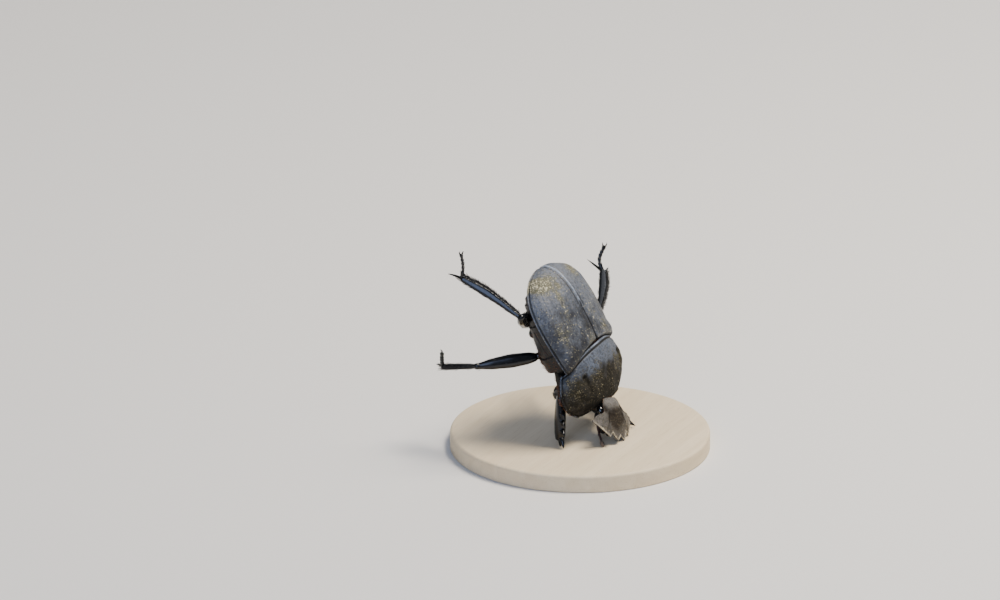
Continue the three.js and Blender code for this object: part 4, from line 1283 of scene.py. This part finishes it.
# Each leg's points in its body's frame, the ways that the edges of its thigh and shin face, and
# its spur's tip from the ankle. sway is how far a foot bows sideways, where not FOOT_SWAY.
FOOT_SWAY = 0.45
LEGS = {
    ("fore", "right"): dict(
        coxa=(-2.4, -4.0, -4.8), hip=(-3.1, -4.2, -5.5), knee=(-7.7, -2.95, -1.75),
        ankle=(-9.44, -10.3, -4.6), thigh=(0.3, 0, 1), shin=(-0.6, 0, 0.8), spur=(0.2, -1.5, -0.5),
    ),
    ("fore", "left"): dict(
        coxa=(2.4, -4.0, -4.8), hip=(3.1, -4.2, -5.5), knee=(9.16, -8.37, -6.3),
        ankle=(4.14, -14.04, -0.48), thigh=(-0.3, 0, 1), shin=(0.83, -0.5, 0.23), spur=(-0.32, -0.9, 1.96),
    ),
    ("mid", "right"): dict(
        coxa=(-3.9, 3.2, -4.7), hip=(-5.2, 3.9, -5.2), knee=(-11.3, 7.7, -12.8),
        ankle=(-8.45, 10.1, -20.4), toe=(-11.13, 12.46, -17.56), thigh=(0.3, 0.86, 0.4),
        shin=(-0.85, 0.06, 0.53), spur=(1.1, 0.9, -1.6),
    ),
    ("mid", "left"): dict(
        coxa=(3.9, 3.2, -4.7), hip=(5.2, 3.9, -5.2), knee=(12.6, 4.9, -11.6),
        ankle=(12.8, 11.5, -8.6), toe=(13.4, 15.2, -7.2), thigh=(-0.3, 0.86, 0.4),
        shin=(0.85, 0.06, -0.5), spur=(1.0, 1.6, 0.6),
    ),
    ("hind", "right"): dict(
        coxa=(-2.9, 7.6, -4.1), hip=(-2.0, 9.2, -5.3), knee=(-11.4, 11.4, -0.5),
        ankle=(-12.5, 22.2, -6.1), toe=(-12.26, 25.69, -3.87), thigh=(0.5, 0.44, 0.74),
        shin=(0.5, 0.44, 0.74), spur=(0.6, 1.6, -2.2),
    ),
    ("hind", "left"): dict(
        coxa=(2.9, 7.6, -4.1), hip=(2.6, 8.6, -5.5), knee=(10.93, 4.53, -0.1),
        ankle=(21.84, 9.75, -1.59), toe=(24.4, 13.1, -0.45), thigh=(-0.3, 0.3, 0.9),
        shin=(0.42, -0.5, 0.76), spur=(0.71, 2.85, -2.09), sway=-1.0,
    ),
}
# The hip joint's radii and its turn in degrees, then the thigh's knee knob and its stations.
COXA = {"fore": ((2.0, 1.5, 1.5), 0), "mid": ((1.2, 1.9, 1.1), 20), "hind": ((2.5, 1.1, 1.1), 0)}
FEMUR = {
    "fore": (0.6, [(0, 1.4, 1.2), (0.14, 1.95, 1.6), (0.45, 2.2, 1.8), (0.78, 1.8, 1.5), (1, 1.1, 1.0)]),
    "mid": (0.58, [(0, 1.2, 1.0), (0.12, 1.95, 1.4), (0.42, 2.4, 1.6), (0.78, 1.8, 1.3), (1, 0.9, 0.8)]),
    "hind": (0.7, [(0, 1.2, 1.1), (0.12, 1.85, 1.4), (0.5, 2.6, 1.7), (0.84, 2.25, 1.5), (1, 1.2, 1.1)]),
}
TIBIA = {
    "fore": [(0, 1.15, 1.1), (0.18, 1.8, 1.55), (0.5, 2.3, 1.75), (0.85, 2.4, 1.6), (1, 1.5, 1.3)],
    "mid": [(0, 0.8, 0.8), (0.15, 0.95, 0.85), (0.6, 1.2, 1.0), (0.93, 1.65, 1.05), (1, 1.35, 0.9)],
    "hind": [
        (0, 0.78, 0.72, 0), (0.12, 0.85, 0.72, 0.05), (0.35, 1.15, 0.8, 0.25),
        (0.6, 1.45, 0.8, 0.3), (0.85, 1.2, 0.8, 0.1), (1, 0.9, 0.72, 0),
    ],
}
# The four big teeth of the fore shin: share of its length, height and lean.
SHIN_TEETH = [(0.4, 1.7, 0.5), (0.58, 1.95, 0.6), (0.76, 2.15, 0.8), (0.93, 1.9, 1.7)]
# Rows of small teeth: first and last share, how far apart, height and size.
SMALL_TEETH = {
    "fore": (0.08, 0.36, 0.055, 0.95, 0.22),
    "mid": (0.25, 0.9, 0.13, 0.85, 0.2),
    "hind": (0.14, 0.95, 0.085, 0.9, 0.17),
}
TARSUS_JOINTS = [0, 0.3, 0.49, 0.65, 0.79, 1]


def femur_shell(kind, length):
    knob, stations = FEMUR[kind]
    knee = ellipsoid((length, 0, 0), (knob, knob, 0.9 * knob), rows=26, columns=30)
    trochanter = ellipsoid((-0.2, 0.1, 0), (0.95, 0.62, 0.55), rows=26, columns=30)
    parts = joined(rod(length, stations, power=2.3), knee, trochanter)
    return remeshed(parts, voxel=0.075, rounds=6)


def tibia_shell(kind, length, spur):
    knob = FEMUR[kind][0] * 0.8
    parts = [
        rod(length, TIBIA[kind], power=2.6, rows=90),
        ellipsoid((0.05, 0, 0), (knob, 0.8 * knob, 0.75 * knob), rows=20, columns=24),
    ]
    if kind == "fore":
        for share, height, lean in SHIN_TEETH:
            root = np.array([share * length - 0.1, 0.35, 0])
            tip = (root[0] + lean, height, 0)
            parts.append(spike(root, tip, 0.62, bend=(-0.12 * lean, 0.1, 0)))
    first, last, apart, height, size = SMALL_TEETH[kind]
    for share in np.arange(first, last, apart):
        parts.append(spike((share * length, 0.3, 0), (share * length + 0.25, height, 0.05), size))
    shell = remeshed(joined(*parts), voxel=0.06, rounds=3)
    tip = np.array([length, 0, 0]) + spur
    return joined(shell, spike((length - 0.45, 0, 0), tip, 0.3, bend=(0.1, 0.1, 0.12), rows=16))


def path_mesh(name, points, steps):
    mesh = bpy.data.meshes.new(name)
    edges = [(i, i + 1) for i in range(len(points) - 1)]
    mesh.from_pydata((np.asarray(points) * MM).tolist(), edges, [])
    mark(mesh, "step", steps)
    return mesh


def fringe(spot, length, stations, rows, reach, seed):
    """Black bristles along a limb: each row is (side in Y, side in Z, start, end, count, stand)."""
    table = limb_table(stations)
    rng = np.random.default_rng(seed)
    roots, lies, unwrapped = [], [], []
    for side_y, side_z, start, end, count, stand in rows:
        share = np.linspace(start, end, count) + rng.normal(size=count) * 0.012
        breadth, thick, bowed = (np.interp(share, table[:, 0], table[:, i]) for i in (1, 2, 3))
        y, z = bowed + side_y * 0.44 * breadth, side_z * 0.42 * thick
        roots.append(np.stack([share * length, y, z], axis=1))
        lies.append(np.tile([1.0, side_y * stand, side_z * stand], (count, 1)))
        around = (math.atan2(side_z, side_y) / math.pi + 1) / 2
        unwrapped.append(np.stack([share, np.full(count, around)], axis=1))
    roots = np.concatenate(roots)
    sizes = reach * rng.uniform(0.6, 1.2, len(roots))
    lies, unwrapped = np.concatenate(lies), np.concatenate(unwrapped)
    plant(BLACK_BED, spot, roots, lies, (1, 0, 0), sizes, unwrapped, 0.19, seed)


def furred(spot, radii, count, reach, lie, seed):
    """Short russet hairs lying all over an egg-shaped joint."""
    rng = np.random.default_rng(seed)
    ways = unit(rng.normal(size=(count, 3)))
    flat = unit(np.asarray(lie, float) - (ways @ np.asarray(lie, float))[:, None] * ways)
    turns = np.arctan2(ways[:, 2], ways[:, 0]) / (2 * math.pi) + 0.5
    unwrapped = np.stack([turns, 0.5 + 0.5 * ways[:, 1]], axis=1)
    sizes = reach * rng.uniform(0.7, 1.1, count)
    roots = ways * radii * 0.99
    plant(RUSSET_BED, spot, roots, flat + 0.35 * ways, flat, sizes, unwrapped, 0.15, seed)


for number, ((kind, side), leg) in enumerate(LEGS.items()):
    body = FORE if kind == "fore" else HIND
    turn = 1 if side == "left" else -1
    radii, lean = COXA[kind]
    socket = placed(leg["coxa"], turned(z=turn * lean))
    ball = moved(ellipsoid((0, 0, 0), radii, lumps=0.04), socket)
    make_piece(f"{kind}_hip_joint_{side}", ball, body, UNDERSIDE, [f"{kind}_coxa_{side}"])
    furred(body @ socket, radii, count=190, reach=0.5, lie=(0, -0.3, -1), seed=90 + number)

    thigh = body @ limb_frame(leg["hip"], leg["knee"], leg["thigh"])
    length = math.dist(leg["hip"], leg["knee"])
    shell = femur_shell(kind, length)
    # The thick fore thighs are pitted all over and only satin.
    finish = UNDERSIDE if kind == "fore" else LIMB
    make_piece(f"{kind}_thigh_{side}", shell, thigh, finish, [f"{kind}_femur_{side}"])
    rows = [(1, 0.5, 0.1, 0.95, 26, 0.7)]
    rows += [(-1, 0.3, 0.15, 0.95, 34, 0.6), (-1, -0.4, 0.1, 0.95, 34, 0.6)]
    rows += [(0.4, -0.9, 0.15, 0.95, 24, 0.35), (-0.4, -0.95, 0.15, 0.95, 24, 0.35)]
    rows += [(0.3, 0.95, 0.2, 0.95, 20, 0.3)]
    if kind == "fore":
        rows += [(-0.95, high, 0.1, 0.95, 44, 0.8) for high in (0.7, 0.45, 0.15, -0.15, -0.6)]
    fringe(thigh, length, FEMUR[kind][1], rows, 0.55, 100 + number)

    shin = limb_frame(leg["knee"], leg["ankle"], leg["shin"])
    length = math.dist(leg["knee"], leg["ankle"])
    spur = shin[:3, :3].T @ np.array(leg["spur"], float)
    shin = body @ shin
    shell = tibia_shell(kind, length, spur)
    make_piece(f"{kind}_shin_{side}", shell, shin, LIMB, [f"{kind}_tibia_{side}"])
    if kind == "fore":
        rows = [(-1, high, 0.1, 0.97, 52, 0.9) for high in (0.4, -0.4)]
        rows += [(0, -1, 0.2, 0.95, 30, 0.5)]
        fringe(shin, length, TIBIA[kind], rows, 0.6, 120 + number)
        continue
    rows = [(1, high, 0.04, 0.98, 90, 1.2) for high in (0.9, 0.5, 0.1, -0.3, -0.8)]
    rows += [(1, high, 0.25, 0.96, 80, 0.9) for high in (0.7, 0.2, -0.4)]
    rows += [(-1, high, 0.06, 0.98, 44, 0.22) for high in (0.6, 0.0, -0.6)]
    fringe(shin, length, TIBIA[kind], rows, 1.0 if kind == "hind" else 0.75, 120 + number)

    foot = body @ limb_frame(leg["ankle"], leg["toe"], leg["shin"])
    length = math.dist(leg["ankle"], leg["toe"])
    k = np.linspace(0, 1, 60)
    sway = leg.get("sway", FOOT_SWAY) * np.sin(k * math.pi) * (1 - 0.6 * k)
    path = np.stack([k * length, sway, -0.12 * np.sin(k * math.pi)], axis=1)
    steps = np.interp(k, TARSUS_JOINTS, np.arange(6)) * 0.9999
    mesh = path_mesh("path", carry(foot, path), steps)
    sizes = {"Radius": 0.38 * MM, "Narrow": 0.68, "Flat": 0.8, "Rows": 120, "Sides": 18}
    mesh = grown(JOINTS, mesh, Material=LIMB, **sizes)
    mesh.name = f"{kind}_foot_{side}"
    finish_piece(mesh.name, mesh, [f"{kind}_tarsus_{side}"])
    claws = []
    for way in (1, -1):
        root, tip = (length - 0.18, way * 0.1, 0), (length + 0.5, way * 0.34, -0.3)
        claws.append(spike(root, tip, 0.13, bend=(0.1, 0.1 * way, 0.12), rows=16))
    make_piece(f"{kind}_claws_{side}", joined(*claws), foot, LIMB)
    # Nine bristles stand round the end of each joint.
    ends = np.repeat(np.array(TARSUS_JOINTS[1:]) - 0.04, 9) * length
    round_ = np.tile(np.linspace(0.3, 6.0, 9), 5)
    roots = np.stack([np.interp(ends, path[:, 0], path[:, i]) for i in range(3)], axis=1)
    roots = roots + np.stack([0 * ends, 0.28 * np.cos(round_), 0.2 * np.sin(round_)], axis=1)
    out = np.stack([0 * ends + 1, 0.5 * np.cos(round_), 0.5 * np.sin(round_)], axis=1)
    unwrapped = np.stack([ends / length, round_ / (2 * math.pi)], axis=1)
    plant(BLACK_BED, foot, roots, out, (1, 0, 0), 0.42, unwrapped, spread=0.1, seed=140 + number)


# ---------- feelers and mouth ----------

FEELER = {
    "right": [(-1.7, -2.7, -2.0), (-1.9, -4.5, -2.4), (-2.4, -6.0, -2.2), (-2.9, -6.9, -1.95)],
    "left": [
        (1.9, -2.4, -1.8), (3.0, -2.8, -2.5), (3.2, -3.4, -3.1), (2.9, -3.8, -3.5), (2.3, -4.0, -3.6),
    ],
}

for name, points in FEELER.items():
    stem = spline(points, 90)
    # One long joint, then six short ones.
    joint = np.interp(np.linspace(0, 1, 90), [0, 0.42, 1], [0, 1, 6.999])
    mesh = path_mesh("path", carry(CROWN, stem), joint)
    sizes = {"Radius": 0.2 * MM, "Narrow": 0.82, "Flat": 1.0, "Rows": 150, "Sides": 16}
    mesh = grown(JOINTS, mesh, Material=FEELER_SKIN, **sizes)
    mesh.name = f"feeler_{name}"
    finish_piece(mesh.name, mesh, [f"antenna_{name}"])
    way = unit(stem[-1] - stem[-6])
    leaves = limb_frame(stem[-1], stem[-1] + way, (0, 0, 1))
    club = []
    for z in (-0.17, 0.0, 0.17):
        leaf = ellipsoid((0.45, 0, z), (0.65, 0.3, 0.09), rows=24, columns=30)
        club.append(moved(leaf, leaves @ placed((0, 0, 0), turned(y=-22 * z))))
    make_piece(f"feeler_club_{name}", joined(*club), CROWN, CLUB)

PALP = [((1.0, -4.4, -2.7), (1.25, -5.0, -2.85), 0.24), ((1.25, -5.0, -2.85), (1.4, -5.7, -2.9), 0.19)]
palps = [ellipsoid((0, -4.2, -2.5), (1.5, 1.2, 0.7), lumps=0.06)]
for side in (1, -1):
    for start, end, size in PALP:
        a, b = np.array(start) * [side, 1, 1], np.array(end) * [side, 1, 1]
        k = np.linspace(0, 1, 12)[:, None]
        palps.append(tube(a + (b - a) * k, size * np.sin(np.linspace(0.5, 2.7, 12)), 14))
make_piece("mouthparts_and_palps", joined(*palps), CROWN, UNDERSIDE, ["mouthparts"])

grow_hairs("black_leg_bristles", BLACK_BED, BLACK_HAIR, thickness=0.042, bend=0.3, seed=7)
grow_hairs("russet_body_hair", RUSSET_BED, RUSSET_HAIR, thickness=0.026, bend=0.35, seed=8)


# ---------- grains of soil on the back ----------


def soiled(name, sheets, spot, seed):
    """Loose grains stuck on sheets of the skin, given with how thickly each place is strewn."""
    points, quads, grit, patch, start = [], [], [], [], 0
    for number, (sheet, thick) in enumerate(sheets):
        rows, columns = sheet.shape[:2]
        r, c = np.meshgrid(np.arange(rows - 1), np.arange(columns - 1), indexing="ij")
        a = start + r * columns + c
        quads.append(np.stack([a, a + 1, a + 1 + columns, a + columns], axis=-1).reshape(-1, 4))
        r, c = np.meshgrid(np.arange(rows), np.arange(columns), indexing="ij")
        place = np.stack([number * 0.5 + 0.46 * r / rows, c / columns, 0 * r], axis=-1)
        points.append(sheet.reshape(-1, 3))
        grit.append(thick.ravel())
        patch.append(place.reshape(-1, 3))
        start += rows * columns
    shell = (carry(spot, np.concatenate(points)), np.concatenate(quads), np.empty((0, 3), int))
    mesh = new_mesh(name, shell, MM)
    mark(mesh, "grit", np.concatenate(grit))
    mark(mesh, "patch", np.concatenate(patch), "FLOAT_VECTOR")
    sizes = {"Density": 9e6, "Smallest": 0.025 * MM, "Largest": 0.1 * MM}
    grains = grown(GRIT, mesh, Seed=seed, Material=SOIL, **sizes)
    grains.name = name
    return finish_piece(name, grains)


soiled("soil_on_wing_cases", wing_tops, HIND, 5)
soiled("soil_on_pronotum", [pronotum_top], FORE, 6)


# ---------- base ----------


def base_disc():
    bevel = 0.5
    arc = np.linspace(0, math.pi / 2, 9)
    profile = [(0.01, 0.0), (0.5 * BASE_RADIUS, 0.0), (BASE_RADIUS - 0.15, 0.0), (BASE_RADIUS, 0.15)]
    edge, top = BASE_RADIUS - bevel, BASE_TOP - bevel
    profile += [(edge + bevel * math.cos(a), top + bevel * math.sin(a)) for a in arc]
    profile += [(0.66 * BASE_RADIUS, BASE_TOP), (0.33 * BASE_RADIUS, BASE_TOP), (0.01, BASE_TOP)]
    r, z = np.array(profile).T
    angle = np.linspace(0, 2 * math.pi, 240, endpoint=False)
    x, y = r[:, None] * np.cos(angle), r[:, None] * np.sin(angle)
    rings = np.stack([x, y, z[:, None] + 0 * angle], axis=-1)
    make_piece("base_disc", closed_grid(rings), np.eye(4), WOOD, ["stand_base"], sharp=35)


base_disc()


# ---------- floor, light and camera ----------

# The floor, the lamps' distances and the camera's clipping are in metres.
floor_size = 6.0
corners = np.array([(-1, -1, 0), (1, -1, 0), (1, 1, 0), (-1, 1, 0)], float) * floor_size / 2
floor = link("floor", new_mesh("floor", (corners, np.array([[0, 1, 2, 3]]), np.empty((0, 3), int))))
floor.data.materials.append(matt_paper("pale_paper"))

AZIMUTH, ELEVATION = math.radians(-64.2), math.radians(20)
DISTANCE = 1500.0
VIEW_WIDTH = 168.52
# The beetle stands this far right of the middle of the view and this far below it.
ASIDE, BELOW = 14.442, 9.235
right = Vector((math.cos(AZIMUTH), math.sin(AZIMUTH), 0))
level = Vector((math.sin(AZIMUTH), -math.cos(AZIMUTH), 0))
back = level * math.cos(ELEVATION) + Vector((0, 0, math.sin(ELEVATION)))
target = Vector(HIND[:3, 3]) - right * ASIDE + back.cross(right) * BELOW

camera = bpy.data.objects.new("camera", bpy.data.cameras.new("camera"))
bpy.context.scene.collection.objects.link(camera)
camera.location = (target + back * DISTANCE) * MM
camera.rotation_mode = "QUATERNION"
camera.rotation_quaternion = (-back).to_track_quat("-Z", "Y")
camera.data.sensor_width = 36
camera.data.lens = DISTANCE * camera.data.sensor_width / VIEW_WIDTH
camera.data.clip_start, camera.data.clip_end = 0.05, 20
bpy.context.scene.camera = camera


def soft_light(name, way, distance, size, watts, tint):
    """A square softbox along a direction from the beetle's middle, and facing it."""
    lamp = bpy.data.lights.new(name, "AREA")
    lamp.size = size
    lamp.energy = watts
    lamp.color = colour(tint)[:3]
    holder = bpy.data.objects.new(name, lamp)
    bpy.context.scene.collection.objects.link(holder)
    way = Vector(way).normalized()
    holder.location = BEETLE_MIDDLE + way * distance
    holder.rotation_mode = "QUATERNION"
    holder.rotation_quaternion = way.to_track_quat("Z", "Y")


BEETLE_MIDDLE = Vector((0, 0, 0.016))
soft_light("key", (0.25, -0.38, 1.0), distance=0.6, size=0.25, watts=7.0, tint="#fff6ea")
soft_light("fill", (-1.0, -0.25, 0.6), distance=0.9, size=0.5, watts=4.2, tint="#b9cfff")
soft_light("rim", (0.9, 0.15, 0.7), distance=0.8, size=0.5, watts=1.2, tint="#eef3ff")

world = bpy.data.worlds.new("studio")
bpy.context.scene.world = world
world.use_nodes = True
sky = world.node_tree.nodes["Background"]
sky.inputs["Color"].default_value = colour("#dfe6f2")
sky.inputs["Strength"].default_value = 0.22
